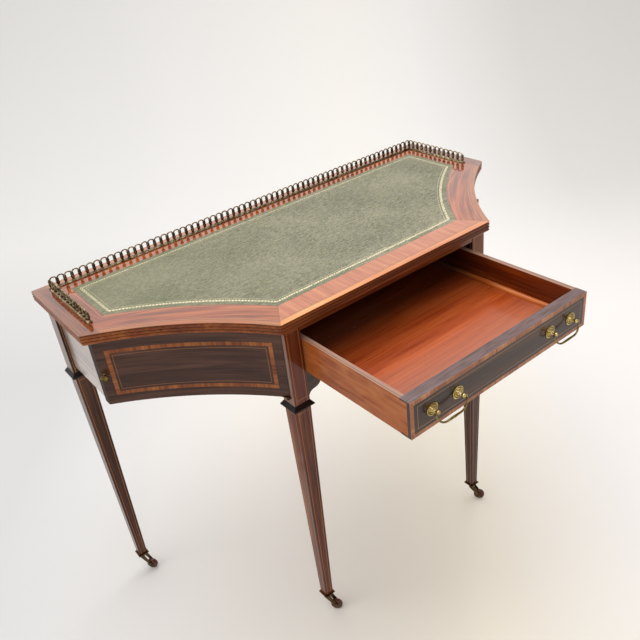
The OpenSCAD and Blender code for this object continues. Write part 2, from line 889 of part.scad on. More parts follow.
module drawer_slips() {
    length = drawer_len - drawer_front_t - drawer_back_t;
    color("chocolate") both_sides()
        translate([-drawer_inner_x, drawer_inner_y + length, drawer_floor_z])
            rotate([90, 0, 0]) linear_extrude(length) intersection() {
                circle(r = slip_r);
                square(slip_r);
            }
}

module handle_roses() {
    color("goldenrod") handle_places() difference() {
        union() {
            cylinder(r = rose_r, h = rose_step_t, $fn = 64);
            cylinder(r = rose_r - rose_step_in, h = rose_step_t * 2, $fn = 64);
        }
        translate([0, 0, -overrun])
            cylinder(r = shank_r + glue_line, h = rose_step_t * 2 + overrun * 2, $fn = 32);
    }
}

module handle_posts() {
    color("goldenrod") handle_places() difference() {
        union() {
            translate([0, 0, -drawer_front_t - nut_t])
                cylinder(r = shank_r, h = drawer_front_t + nut_t + bail_stand, $fn = 32);
            translate([0, 0, rose_step_t * 2])
                cylinder(r = post_r, h = bail_stand - rose_step_t * 2, $fn = 32);
            translate([0, 0, bail_stand]) sphere(r = eye_r, $fn = 48);
        }
        translate([-eye_r - overrun, 0, bail_stand]) rotate([0, 90, 0])
            cylinder(r = pivot_r + running_gap, h = (eye_r + overrun) * 2, $fn = 32);
    }
}

module handle_nuts() {
    color("goldenrod") handle_places() translate([0, 0, -drawer_front_t - nut_t]) difference() {
        cylinder(r = nut_r, h = nut_t, $fn = 6);
        translate([0, 0, -overrun]) cylinder(r = shank_r + glue_line, h = nut_t + overrun * 2, $fn = 32);
    }
}

// One half of the bail, from its pivot pin to the middle
module bail_half() {
    side_x = post_spacing / 2 + bail_side_out;
    pin_start = post_spacing / 2 - pivot_end;
    translate([pin_start, 0, 0]) rotate([0, 90, 0]) cylinder(r = pivot_r, h = side_x - pin_start, $fn = 32);
    translate([side_x, 0, 0]) sphere(r = bail_r, $fn = 32);
    translate([side_x, 0, bail_corner_r - bail_drop])
        cylinder(r = bail_r, h = bail_drop - bail_corner_r, $fn = 32);
    translate([side_x - bail_corner_r, 0, bail_corner_r - bail_drop]) rotate([90, 0, 0]) rotate(-90)
        rotate_extrude(angle = 90, $fn = 96)
            translate([bail_corner_r, 0]) circle(r = bail_r, $fn = 32);
    translate([0, 0, -bail_drop]) rotate([0, 90, 0])
        cylinder(r = bail_r, h = side_x - bail_corner_r, $fn = 32);
    translate([0, 0, -bail_drop]) rotate([0, 90, 0]) cylinder(r = bail_bead_r, h = bail_bead_l, $fn = 32);
}

module bail(side) {
    color("goldenrod") translate([side * handle_x, pivot_y, handle_z]) rotate([-bail_tilt, 0, 0]) {
        bail_half();
        mirror([1, 0, 0]) bail_half();
    }
}

module castor_plates() {
    color("darkgoldenrod") for (place = legs) translate(place) difference() {
        union() {
            translate([-plate_w / 2, -plate_w / 2, foot_z - plate_t]) cube([plate_w, plate_w, plate_t]);
            translate([0, 0, horn_under - clear_gap - swivel_head_t / 2])
                cylinder(r = swivel_r, $fn = 48,
                         h = foot_z - plate_t / 2 - horn_under + clear_gap + swivel_head_t / 2);
            translate([0, 0, horn_under - clear_gap - swivel_head_t])
                cylinder(r = swivel_head_r, h = swivel_head_t, $fn = 48);
        }
        castor_screw_places() translate([0, 0, foot_z - plate_t - overrun]) {
            cylinder(r = screw_r + glue_line, h = plate_t + overrun * 2, $fn = 24);
            cylinder(r = screw_head_r + glue_line, h = screw_head_t + overrun, $fn = 24);
        }
    }
}

module castor_screws() {
    color("goldenrod") for (place = legs) translate(place)
        castor_screw_places() translate([0, 0, foot_z - plate_t]) {
            cylinder(r = screw_r, h = plate_t + screw_l - overrun, $fn = 24);
            cylinder(r = screw_head_r, h = screw_head_t - glue_line, $fn = 24);
        }
}

// Side view of a horn arm: from the boss down to the axle
module horn_arm_plan() {
    arm_r = axle_head_r + axle_head_t;
    difference() {
        hull() {
            translate([castor_trail, wheel_r]) circle(r = arm_r, $fn = 32);
            translate([-horn_boss_r * 3 / 4, horn_under]) square([horn_boss_r * 3 / 2, horn_boss_h / 2]);
        }
        translate([castor_trail, wheel_r]) circle(r = axle_r + glue_line, $fn = 32);
    }
}

module castor_horn(place) {
    arm_y = wheel_w / 2 + horn_arm_gap;
    color("darkgoldenrod") translate(place) rotate(castor_heading) {
        difference() {
            union() {
                translate([0, 0, horn_under]) cylinder(r = horn_boss_r, h = horn_boss_h, $fn = 64);
                for (way = [-1, 1])
                    translate([0, way * (arm_y + horn_arm_t / 2) + horn_arm_t / 2, 0])
                        rotate([90, 0, 0]) linear_extrude(horn_arm_t) horn_arm_plan();
            }
            translate([0, 0, horn_under - overrun])
                cylinder(r = swivel_r + running_gap, h = horn_boss_h + overrun * 2, $fn = 48);
        }
        castor_axle(arm_y + horn_arm_t);
    }
}

module castor_axle(half) {
    translate([castor_trail, 0, wheel_r]) rotate([90, 0, 0]) {
        translate([0, 0, -half]) cylinder(r = axle_r, h = half * 2, $fn = 48);
        for (way = [-1, 1]) translate([0, 0, way * (half + axle_head_t / 2) - axle_head_t / 2])
            cylinder(r = axle_head_r, h = axle_head_t, $fn = 48);
    }
}

// Half section of the wheel: a tread with rounded shoulders and a running bore
module wheel_section() {
    bore = axle_r + running_gap;
    half = wheel_w / 2;
    translate([bore, -half]) square([wheel_r - tread_round - bore, wheel_w]);
    translate([bore, -half + tread_round]) square([wheel_r - bore, wheel_w - tread_round * 2]);
    for (way = [-1, 1]) translate([wheel_r - tread_round, way * (half - tread_round)])
        circle(r = tread_round, $fn = 48);
}

module castor_wheel(place) {
    color("sienna") translate(place) rotate(castor_heading)
        translate([castor_trail, 0, wheel_r]) rotate([90, 0, 0]) rotate_extrude($fn = 96) wheel_section();
}

placed() top_board();
placed() top_underboard();
placed() top_crossbanding();
placed() leather_skiver();
placed() gallery_back();
placed() gallery_side(-1);  // gallery_left
placed() gallery_side(1);  // gallery_right
placed() gallery_pins();
placed() front_leg(-1);  // leg_front_left
placed() front_leg(1);  // leg_front_right
placed() back_leg(-1);  // leg_back_left
placed() back_leg(1);  // leg_back_right
placed() leg_collars();
placed() collar_beads();
placed() back_panel();
placed() side_panel(-1);  // side_panel_left
placed() side_panel(1);  // side_panel_right
placed() partition(-1);  // partition_left
placed() partition(1);  // partition_right
placed() cupboard_floor(-1);  // cupboard_floor_left
placed() cupboard_floor(1);  // cupboard_floor_right
placed() top_rail();
placed() kicker_rail();
placed() drawer_rail();
placed() rail_brackets();
placed() drawer_runners();
placed() drawer_kickers();
placed() drawer_stops();
placed() hinge_leg_leaves();
placed() door(-1);  // door_left
placed() door_crossband(-1);  // door_left_crossband
placed() door_knob(-1);  // door_left_knob
placed() door_hinge_leaves(-1);  // door_left_hinge_leaves
placed() door(1);  // door_right
placed() door_crossband(1);  // door_right_crossband
placed() door_knob(1);  // door_right_knob
placed() door_hinge_leaves(1);  // door_right_hinge_leaves
placed() drawer_front();
placed() drawer_front_banding();
placed() drawer_side(-1);  // drawer_side_left
placed() drawer_side(1);  // drawer_side_right
placed() drawer_back();
placed() drawer_bottom();
placed() drawer_slips();
placed() handle_roses();
placed() handle_posts();
placed() handle_nuts();
placed() bail(-1);  // bail_left
placed() bail(1);  // bail_right
placed() castor_plates();
placed() castor_screws();
placed() castor_horn(front_left);  // castor_horn_front_left
placed() castor_horn(front_right);  // castor_horn_front_right
placed() castor_horn(back_left);  // castor_horn_back_left
placed() castor_horn(back_right);  // castor_horn_back_right
placed() castor_wheel(front_left);  // castor_wheel_front_left
placed() castor_wheel(front_right);  // castor_wheel_front_right
placed() castor_wheel(back_left);  // castor_wheel_back_left
placed() castor_wheel(back_right);  // castor_wheel_back_right
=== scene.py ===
"""Looks of the writing table: polished rosewood, inlaid leather, aged brass, and a pale studio."""
import math
from collections import namedtuple
from functools import partialmethod, reduce
import bmesh
import bpy
from mathutils import Matrix, Vector


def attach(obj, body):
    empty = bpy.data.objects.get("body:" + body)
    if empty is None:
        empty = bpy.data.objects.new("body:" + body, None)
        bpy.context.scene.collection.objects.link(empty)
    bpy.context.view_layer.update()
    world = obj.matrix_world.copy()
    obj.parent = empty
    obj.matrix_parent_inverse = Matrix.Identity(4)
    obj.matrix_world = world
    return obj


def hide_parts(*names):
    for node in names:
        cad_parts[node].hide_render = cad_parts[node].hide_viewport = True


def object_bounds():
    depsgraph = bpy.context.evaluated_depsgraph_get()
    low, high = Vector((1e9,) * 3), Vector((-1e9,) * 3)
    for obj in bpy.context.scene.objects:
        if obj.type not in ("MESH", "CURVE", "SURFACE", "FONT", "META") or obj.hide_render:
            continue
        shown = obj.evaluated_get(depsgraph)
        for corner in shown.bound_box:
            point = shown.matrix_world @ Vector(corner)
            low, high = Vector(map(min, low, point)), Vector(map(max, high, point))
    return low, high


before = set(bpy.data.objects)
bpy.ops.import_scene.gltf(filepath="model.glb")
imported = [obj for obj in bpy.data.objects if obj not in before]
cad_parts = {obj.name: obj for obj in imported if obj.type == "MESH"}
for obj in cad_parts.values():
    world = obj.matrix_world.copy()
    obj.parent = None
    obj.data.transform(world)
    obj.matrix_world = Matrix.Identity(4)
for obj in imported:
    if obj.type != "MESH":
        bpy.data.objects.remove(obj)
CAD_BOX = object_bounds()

MM = 0.001
# Depth within which a point counts as lying on a face, and on the face of the drawer
SKIN = 0.3 * MM
FRONT_SKIN = 0.5 * MM
# Depth of the finest relief, and radius that edges seem to have
BUMP_DEPTH = 0.3 * MM
SOFT_EDGE = 0.5 * MM

# Sizes of the top, as the solids have them
BACK_Y = CAD_BOX[1][1]
TOP_Z = 768 * MM
TOP_W = 1040 * MM
TOP_D = 480 * MM
SHORT_SIDE = 241 * MM
FRONT_W = 525 * MM
CORNER_RISE = 24 * MM
LEATHER_SIDE = 62 * MM
LEATHER_FRONT = 57 * MM
LEATHER_BACK = 55 * MM
LEATHER_CORNER = 61 * MM
FRONT_Y = BACK_Y - TOP_D
SIDE_X = TOP_W / 2


def from_back(place):
    """Turns a place given as across, in from the back edge and perhaps up into x, y and z."""
    across, inwards, *up = place
    return Vector((across, BACK_Y - inwards, *up))


# Legs
LEG_W = 34 * MM
FOOT_W = 18.5 * MM
FRONT_LEG_PLACE = (237.8 * MM, 455 * MM)
BACK_LEG_PLACE = (493.5 * MM, 54 * MM)
FRONT_LEG = from_back(FRONT_LEG_PLACE)
BACK_LEG = from_back(BACK_LEG_PLACE)
BLOCK_TOP = 747 * MM
FRONT_COLLAR_Z = 573 * MM
BACK_COLLAR_Z = 587 * MM
COLLAR_H = 14 * MM
FOOT_Z = 51.5 * MM
LEGS = {
    "front_left": (-FRONT_LEG[0], FRONT_LEG[1]),
    "front_right": FRONT_LEG,
    "back_left": (-BACK_LEG[0], BACK_LEG[1]),
    "back_right": BACK_LEG,
}

# Doors
DOOR_OUTER_PLACE = (-503 * MM, 231 * MM)
DOOR_INNER_PLACE = (-256 * MM, 463 * MM)
DOOR_OUTER = from_back(DOOR_OUTER_PLACE)
DOOR_INNER = from_back(DOOR_INNER_PLACE)
DOOR_RISE = 18 * MM
DOOR_TOP = 743.6 * MM
DOOR_Z = 605 * MM
KNOB_IN = 8 * MM
KNOB_DROP = 4 * MM

# Drawer
DRAWER_OUT = 736 * MM
DRAWER_FACE = BACK_Y - DRAWER_OUT
DRAWER_HALF = 220 * MM
DRAWER_TOP = 718 * MM
DRAWER_Z = 648 * MM
DRAWER_MIDDLE_Z = (DRAWER_Z + DRAWER_TOP) / 2
DRAWER_BAND = 7.5 * MM
DRAWER_INNER_X = 209.5 * MM
HANDLE_X = 145.5 * MM
POST_HALF = 28.8 * MM
PIVOT_OUT = 12.4 * MM
BAIL_OVERHANG = 5.8 * MM
BAIL_SIDE = POST_HALF + BAIL_OVERHANG
BAIL_DROP = 22.5 * MM
BAIL_CORNER = 20 * MM
BAIL_TILT = math.radians(17)

# Gallery
GALLERY_X = 486.4 * MM
GALLERY_IN = 26 * MM
GALLERY_Y = BACK_Y - GALLERY_IN
ARCH_PITCH = 15.2 * MM
BACK_ARCHES = 64
SIDE_ARCHES = 12
GALLERY_H = 25 * MM
RAIL_W = 9 * MM
RAIL_TAIL = 5 * MM
HOOP_R = 1.4 * MM

# Castors
HEADING = math.radians(-51)
TRAIL = 19 * MM
WHEEL_R = 13 * MM
WHEEL_HALF = 5 * MM


def arc_through(start, end, rise):
    """Returns the centre and radius of the arc in front of the left corner."""
    chord = end - start
    radius = chord.length_squared / 8 / rise + rise / 2
    way = chord.normalized()
    centre = (start + end) / 2 + (radius - rise) * Vector((way.y, -way.x))
    return centre, radius


TOP_ARC, TOP_ARC_R = arc_through(
    Vector((-SIDE_X, BACK_Y - SHORT_SIDE)), Vector((-FRONT_W / 2, FRONT_Y)), CORNER_RISE)
DOOR_ARC, DOOR_R = arc_through(DOOR_OUTER, DOOR_INNER, DOOR_RISE)
DOOR_START, DOOR_END = (math.atan2(spot.y - DOOR_ARC.y, spot.x - DOOR_ARC.x)
                        for spot in (DOOR_OUTER, DOOR_INNER))


def colour(code):
    """Turns a screen colour such as #8a6040 into the linear colour that shaders take."""
    parts = [int(code[i:i + 2], 16) / 255 for i in (1, 3, 5)]
    return tuple(p / 12.92 if p <= 0.04045 else ((p + 0.055) / 1.055) ** 2.4 for p in parts) + (1,)


# Noise: waves per metre along each axis, how fine and how bent it is, and the range that a mask shows
Pattern = namedtuple("Pattern", "waves detail bend low high", defaults=(3, 0, 0, 1))


class Look:
    """One material, with short calls that add nodes to it."""

    def __init__(self, name):
        self.material = bpy.data.materials.new(name)
        self.material.use_nodes = True
        self.tree = self.material.node_tree
        self.shader = self.tree.nodes["Principled BSDF"]

    def feed(self, socket, value):
        if isinstance(value, bpy.types.NodeSocket):
            self.tree.links.new(value, socket)
        else:
            socket.default_value = value

    def add(self, kind, **settings):
        node = self.tree.nodes.new(kind)
        for key, value in settings.items():
            setattr(node, key, value)
        return node

    def math(self, operation, *values):
        node = self.add("ShaderNodeMath", operation=operation)
        for socket, value in zip(node.inputs, values):
            self.feed(socket, value)
        return node.outputs[0]

    # Sums, and tests that give one where a value is above or below a limit or near a middle, else zero
    plus = partialmethod(math, "ADD")
    minus = partialmethod(math, "SUBTRACT")
    times = partialmethod(math, "MULTIPLY")
    size = partialmethod(math, "ABSOLUTE")
    above = partialmethod(math, "GREATER_THAN")
    below = partialmethod(math, "LESS_THAN")
    near = partialmethod(math, "COMPARE")

    def rest(self, share):
        """What is left of one."""
        return self.minus(1, share)

    def reach(self, x, y):
        """How far the point x, y lies from the origin."""
        return self.math("SQRT", self.plus(self.times(x, x), self.times(y, y)))

    def lowest(self, *values):
        return reduce(lambda first, second: self.math("MINIMUM", first, second), values)

    def highest(self, *values):
        return reduce(lambda first, second: self.math("MAXIMUM", first, second), values)

    def spread(self, value, low, high, start=0, end=1):
        """Carries a value from one range to another and holds it at the ends."""
        node = self.add("ShaderNodeMapRange")
        for socket, number in zip(node.inputs, (value, low, high, start, end)):
            self.feed(socket, number)
        return node.outputs[0]

    def vector(self, x, y, z):
        node = self.add("ShaderNodeCombineXYZ")
        for socket, value in zip(node.inputs, (x, y, z)):
            self.feed(socket, value)
        return node.outputs[0]

    def place(self):
        """Returns x, y and z of the point on the object, in metres at rest."""
        spot = self.add("ShaderNodeTexCoord").outputs["Object"]
        node = self.add("ShaderNodeSeparateXYZ")
        self.feed(node.inputs[0], spot)
        return node.outputs[0], node.outputs[1], node.outputs[2]

    def noise(self, vector, pattern):
        scaled = self.add("ShaderNodeVectorMath", operation="MULTIPLY")
        self.feed(scaled.inputs[0], vector)
        self.feed(scaled.inputs[1], pattern.waves)
        node = self.add("ShaderNodeTexNoise")
        self.feed(node.inputs["Vector"], scaled.outputs[0])
        self.feed(node.inputs["Scale"], 1)
        self.feed(node.inputs["Detail"], pattern.detail)
        self.feed(node.inputs["Distortion"], pattern.bend)
        return node.outputs["Fac"]

    def mask(self, vector, pattern, start=0, end=1):
        """Noise that goes from start to end over the range that its pattern shows."""
        return self.spread(self.noise(vector, pattern), pattern.low, pattern.high, start, end)

    def mix(self, share, first, second):
        node = self.add("ShaderNodeMix", data_type="RGBA")
        self.feed(node.inputs["Factor"], share)
        self.feed(node.inputs["A"], first)
        self.feed(node.inputs["B"], second)
        return node.outputs["Result"]

    def stain(self, tint, where, stain):
        """Lays a tint and its share over part of the surface; it carries real stains and painted light and
        shade alike.
        """
        code, share = stain
        return self.mix(self.times(where, share), tint, colour(code))

    def fade(self, tint, value, start, end, stain):
        """Lays a tint that is full at the start of a range and gone at its end; it carries real stains and
        painted shade alike.
        """
        code, share = stain
        return self.mix(self.spread(value, start, end, share, 0), tint, colour(code))

    def ramp(self, value, stops):
        node = self.add("ShaderNodeValToRGB")
        self.feed(node.inputs[0], value)
        marks = node.color_ramp.elements
        while len(marks) < len(stops):
            marks.new(0.5)
        for mark, (spot, tint) in zip(marks, stops):
            mark.position = spot
            mark.color = tint
        return node.outputs[0]

    def tints(self, value, codes, spots):
        """Ramp through screen colours at the given spots."""
        return self.ramp(value, [(spot, colour(code)) for spot, code in zip(spots, codes)])

    def put(self, name, value):
        """Feeds a value to an input of the shader."""
        self.feed(self.shader.inputs[name], value)

    def surface(self, tint, roughness, bump=None, strength=0.1, depth=BUMP_DEPTH):
        self.put("Base Color", tint)
        self.put("Roughness", roughness)
        rounded = self.add("ShaderNodeBevel", samples=4)
        self.feed(rounded.inputs["Radius"], SOFT_EDGE)
        normal = rounded.outputs[0]
        if bump is not None:
            node = self.add("ShaderNodeBump")
            self.feed(node.inputs["Strength"], strength)
            self.feed(node.inputs["Distance"], depth)
            self.feed(node.inputs["Height"], bump)
            self.feed(node.inputs["Normal"], normal)
            normal = node.outputs[0]
        self.put("Normal", normal)
        return self.material

    def polish(self, weight, roughness, base_shine=0.12, index=1.5):
        self.put("Coat Weight", weight)
        self.put("Coat IOR", index)
        self.put("Coat Roughness", roughness)
        self.put("Specular IOR Level", base_shine)


# Woods: dark, middle and light tints
FIELD_TINTS = ("#5a1e08", "#92441a", "#b86632")
FRONT_TINTS = ("#a05432", "#b86a42", "#c88254")
OUTER_TINTS = ("#b86022", "#d8823c", "#eca65e")
EDGE_TINTS = ("#602c0c", "#803f16", "#9c5824")
CASE_TINTS = ("#1e0f08", "#362010", "#4c301c")
DOOR_TINTS = ("#2a140a", "#402316", "#543626")
# Side panels: a pale grey copy of the case wood, a painted reflection of the bright room
SIDE_CASE_REFLECTION_TINTS = ("#6c564c", "#967d70", "#b49e92")
LEG_TINTS = ("#3a1004", "#642c12", "#885028")
BACK_LEG_TINTS = ("#240c04", "#42200e", "#5c361e")
# Front right leg: a darker copy of the leg wood, painted shade
RIGHT_LEG_SHADED_TINTS = ("#1c0a04", "#34180c", "#4a2818")
BAND_TINTS = ("#663010", "#8c4c1e", "#a86a34")
DRAWER_TINTS = ("#8a3210", "#a4461a", "#b85624")
DRAWER_BAND_TINTS = ("#7a4020", "#9c5e34", "#bc7e50")
SIDE_TINTS = ("#743410", "#96491a", "#b06a34")
SLIP_TINTS = ("#984412", "#c06024", "#e08c4c")
# Inside of the drawer: a darker copy of its wood, painted shade
INSIDE_SHADED_TINTS = ("#481804", "#6c2a0a", "#8a4014")
CARCASS_TINTS = ("#5e3a20", "#7d5230", "#94683f")
EBONY_TINTS = ("#0c0706", "#160d0a", "#21140f")
DARK_LINE_TINT = "#140804"

# Grain: waves per metre along and across the wood, and how bent they are
FIGURE_ALONG, FIGURE_ACROSS, FIGURE_BEND = 2.2, 26, 0.6
FINE_ALONG, FINE_ACROSS, FINE_BEND = 9, 210, 0.3
PORES = Pattern((45, 1300, 1300), 2, 0, 0.58, 0.72)
PORE_SHARE = 0.4
FIGURE_SHARE = 0.55
GRAIN_SPOTS = (0.36, 0.5, 0.64)
# Range of the fine grain that is shown, and the roughness from its one end to the other
FINE_RANGE = (0.3, 0.7)
WOOD_ROUGH = (0.26, 0.40)


def grain(look, along, across, depth, tints, figure=1.0, fineness=1.0):
    """Returns the wood's colour, its pores and its roughness for the given directions."""
    spot = look.vector(along, across, depth)
    wide = FIGURE_ACROSS * fineness
    narrow = FINE_ACROSS * fineness
    broad = look.noise(spot, Pattern((FIGURE_ALONG * fineness, wide, wide), 3, FIGURE_BEND * figure))
    fine = look.noise(spot, Pattern((FINE_ALONG, narrow, narrow), 4, FINE_BEND))
    pores = look.noise(spot, PORES)
    blend = look.plus(look.times(broad, FIGURE_SHARE), look.times(fine, 1 - FIGURE_SHARE))
    tint = look.tints(blend, tints, GRAIN_SPOTS)
    open_pores = look.spread(pores, PORES.low, PORES.high)
    tint = look.stain(tint, open_pores, (tints[0], PORE_SHARE))
    rough = look.spread(fine, *FINE_RANGE, *WOOD_ROUGH)
    return tint, pores, rough


def plain_wood(name, tints, axis="X", gloss=0.5, coat_rough=0.1, base_shine=0.12, index=1.5):
    """Wood with its grain along the X or Y axis of the table."""
    look = Look(name)
    x, y, z = look.place()
    order = {"X": (x, y, z), "Y": (y, x, z)}[axis]
    tint, pores, rough = grain(look, *order, tints, fineness=1.5)
    look.polish(gloss, coat_rough, base_shine, index)
    return look.surface(tint, rough, pores, strength=0.12)


# Width of wood between each edge of the top and the leather, and what runs along that edge
TOP_INSETS = {"side": LEATHER_SIDE, "back": LEATHER_BACK, "front": LEATHER_FRONT, "corner": LEATHER_CORNER}
EDGE_PLACES = {"side": "y", "back": "x", "corner": "turn", "front": "x"}
SAME_SHARE = 1e-5
SAME_PLACE = 0.001 * MM


def top_map(look):
    """Distances on the top: from each kind of edge, and along the nearest one."""
    x, y, z = look.place()
    width = look.size(x)
    out_x = look.times(look.plus(width, TOP_ARC.x), -1)
    out_y = look.minus(y, TOP_ARC.y)
    return {
        "x": x, "y": y, "z": z,
        "side": look.minus(SIDE_X, width),
        "back": look.minus(BACK_Y, y),
        "front": look.minus(y, FRONT_Y),
        "corner": look.minus(look.reach(out_x, out_y), TOP_ARC_R),
        "turn": look.times(look.math("ARCTAN2", out_y, out_x), TOP_ARC_R),
    }


def along_edge(look, spots):
    """Picks the nearest edge: the distance from it, the place along it, and one at the front edge."""
    shares = {edge: look.math("DIVIDE", spots[edge], inset) for edge, inset in TOP_INSETS.items()}
    least = look.lowest(*shares.values())
    chosen = {}
    along = 0
    depth = 0
    for edge, place in EDGE_PLACES.items():
        chosen[edge] = look.near(shares[edge], least, SAME_SHARE)
        along = look.math("MULTIPLY_ADD", chosen[edge], spots[place], along)
        depth = look.math("MULTIPLY_ADD", chosen[edge], spots[edge], depth)
    return depth, along, chosen["front"]


GRAIN_SLANT = 0.1
CROSS_PITCH = 4.6 * MM
CROSS_TINT = "#94482c"
CROSS_LEVEL = 0.2
CROSS_SHARE = 0.3


def top_field(look, depth, along, front):
    """Field of the top, with its grain along the edge, but across it at the front."""
    slanted = look.math("MULTIPLY_ADD", along, GRAIN_SLANT, depth)
    field, pores, rough = grain(look, along, slanted, 0, FIELD_TINTS, fineness=3.2)
    crossed, _, _ = grain(look, depth, along, 0, FRONT_TINTS, figure=0.5, fineness=3.5)
    cross = look.math("SINE", look.times(along, 2 * math.pi / CROSS_PITCH))
    crossed = look.mix(look.spread(cross, CROSS_LEVEL, 1, 0, CROSS_SHARE), crossed, colour(CROSS_TINT))
    return look.mix(front, field, crossed), pores, rough


OUTER_BAND = 12.5 * MM
OUTER_BROWN = ("#884218", 0.65)
OUTER_STREAKS = Pattern((14, 500, 10), 3, 0, 0.5, 0.62)
STREAK_TINT = "#5a2a12"
STREAK_SHARE = 0.5


def outer_band(look, depth, along, front):
    """Outer band of the top, pale at the front and brown with dark streaks elsewhere."""
    band, _, _ = grain(look, along, depth, 0, OUTER_TINTS, figure=0.5, fineness=2)
    band = look.fade(band, front, 0, 1, OUTER_BROWN)
    streaks = look.mask(look.vector(along, depth, 0), OUTER_STREAKS)
    streaks = look.times(streaks, look.spread(front, 0, 1, STREAK_SHARE, 0))
    return look.mix(streaks, band, colour(STREAK_TINT))


DARK_TOP_LINE = "#4c1e0a"
PALE_TOP_LINE = "#c8885a"
# Lines in the top: distance inside the outer band, half width, tint and share
TOP_LINES = (
    (0, 0.5 * MM, DARK_TOP_LINE, 0.8),
    (1.5 * MM, 0.6 * MM, PALE_TOP_LINE, 0.7),
    (3.0 * MM, 0.5 * MM, DARK_TOP_LINE, 0.7),
)
INNER_LINE = (PALE_TOP_LINE, 0.6)
INNER_LINE_IN = 5 * MM
INNER_LINE_HALF = 0.6 * MM
# Painted shadow and reflection of the side galleries on the strip outside them: where it is full, where it
# ends, tint and share
OUTSIDE_STRIP = 29 * MM
OUTSIDE_STRIP_END = 34 * MM
OUTSIDE_SHADOW_TINT = "#38140a"
OUTSIDE_SHADOW_SHARE = 0.5
# Roughness of the top for the smoothest and the roughest wood
TOP_ROUGH = (0.07, 0.13)


def inner_line(look, spots, front):
    """One on the thin line beside the leather, which the front lacks, else zero."""
    gaps = [look.minus(TOP_INSETS[edge], spots[edge]) for edge in ("side", "corner", "back")]
    return look.times(look.near(look.highest(*gaps), INNER_LINE_IN, INNER_LINE_HALF), look.rest(front))


def top_veneer():
    """Veneer of the top: a field inside thin lines and a paler outer band."""
    look = Look("top_crossbanding")
    spots = top_map(look)
    depth, along, front = along_edge(look, spots)
    tint, pores, rough = top_field(look, depth, along, front)
    tint = look.mix(look.below(depth, OUTER_BAND), tint, outer_band(look, depth, along, front))
    for inside, half, line_tint, share in TOP_LINES:
        tint = look.stain(tint, look.near(depth, OUTER_BAND + inside, half), (line_tint, share))
    tint = look.stain(tint, inner_line(look, spots, front), INNER_LINE)
    # Painted shadow of the side gallery on the top
    gallery_shadow = look.spread(spots["side"], OUTSIDE_STRIP_END, OUTSIDE_STRIP, 0, OUTSIDE_SHADOW_SHARE)
    tint = look.mix(gallery_shadow, tint, colour(OUTSIDE_SHADOW_TINT))
    look.polish(1, 0.04, base_shine=0.3, index=1.6)
    return look.surface(tint, look.spread(rough, *WOOD_ROUGH, *TOP_ROUGH), pores, strength=0.04)


# Painted shade in the hollows between the reeds of the rim: how far down each lies, and where its shade
# ends
RIM_HOLLOWS = (2.8 * MM, 9.1 * MM, 14.9 * MM)
HOLLOW_HALF = 0.3 * MM
HOLLOW_END = 1.3 * MM
HOLLOW_PAINTED_SHADE = ("#2e1006", 0.55)


def rim_wood():
    """Wood of the moulded edge, with its grain along the edge and painted shade in the hollows between the
    reeds.
    """
    look = Look("edge_wood")
    spots = top_map(look)
    _, along, _ = along_edge(look, spots)
    tint, pores, rough = grain(look, along, spots["z"], spots["y"], EDGE_TINTS, 0.3, 1.2)
    drop = look.minus(TOP_Z, spots["z"])
    for hollow in RIM_HOLLOWS:
        away = look.size(look.minus(drop, hollow))
        tint = look.fade(tint, away, HOLLOW_HALF, HOLLOW_END, HOLLOW_PAINTED_SHADE)
    look.polish(0.3, 0.2)
    return look.surface(tint, rough, pores, strength=0.06)


# Leather: its mottled tints, the noise they follow, and the shares of that noise
HIDE_TINTS = ("#4e5230", "#78785a", "#a29c80")
HIDE_SPOTS = (0.41, 0.5, 0.59)
HIDE_BROAD = Pattern((7, 7, 7))
HIDE_STREAKS = Pattern((80, 260, 10), 4, 1.2)
HIDE_BLOTCHES = Pattern((240, 300, 10), 4, 0.6, 0.4, 0.6)
HIDE_BLOOM = Pattern((170, 230, 10), 3, 0.8, 0.46, 0.62)
BROAD_SHARE = 0.2
STREAKS_SHARE = 0.4
BLOTCHES_SHARE = 0.4
BLOOM = ("#8a807e", 0.5)
# The left part is greener: where that starts and ends, tint and share
GREEN_RANGE = (-400 * MM, 0)
GREEN = ("#666844", 0.4)
# Creases between pebbles, per metre, and how far streaks bend them
PEBBLES = 300
PEBBLE_BEND = 6 * MM
CREASE_RANGE = (0, 0.16)
CREASE = ("#40442a", 0.5)
CREASE_DEPTH = 0.2 * MM


def hide_tint(look, x, y):
    """Mottled grey-green hide: its colour and the depth of its creases."""
    spot = look.vector(x, y, 0)
    streaks = look.noise(spot, HIDE_STREAKS)
    blotches = look.noise(spot, HIDE_BLOTCHES)
    broad = look.times(look.noise(spot, HIDE_BROAD), BROAD_SHARE)
    mottle = look.plus(broad, look.times(streaks, STREAKS_SHARE))
    mottle = look.math("MULTIPLY_ADD", blotches, BLOTCHES_SHARE, mottle)
    hide = look.tints(mottle, HIDE_TINTS, HIDE_SPOTS)
    hide = look.stain(hide, look.mask(spot, HIDE_BLOOM), BLOOM)
    hide = look.fade(hide, x, *GREEN_RANGE, GREEN)
    bent = look.math("MULTIPLY_ADD", streaks, PEBBLE_BEND, x)
    pebble = look.add("ShaderNodeTexVoronoi", feature="DISTANCE_TO_EDGE")
    look.feed(pebble.inputs["Vector"], look.vector(bent, y, 0))
    look.feed(pebble.inputs["Scale"], PEBBLES)
    crease = look.spread(pebble.outputs["Distance"], *CREASE_RANGE)
    wear_and_sheen = look.spread(blotches, HIDE_BLOTCHES.low, HIDE_BLOTCHES.high)
    hide = look.stain(hide, look.times(look.rest(crease), wear_and_sheen), CREASE)
    return hide, crease


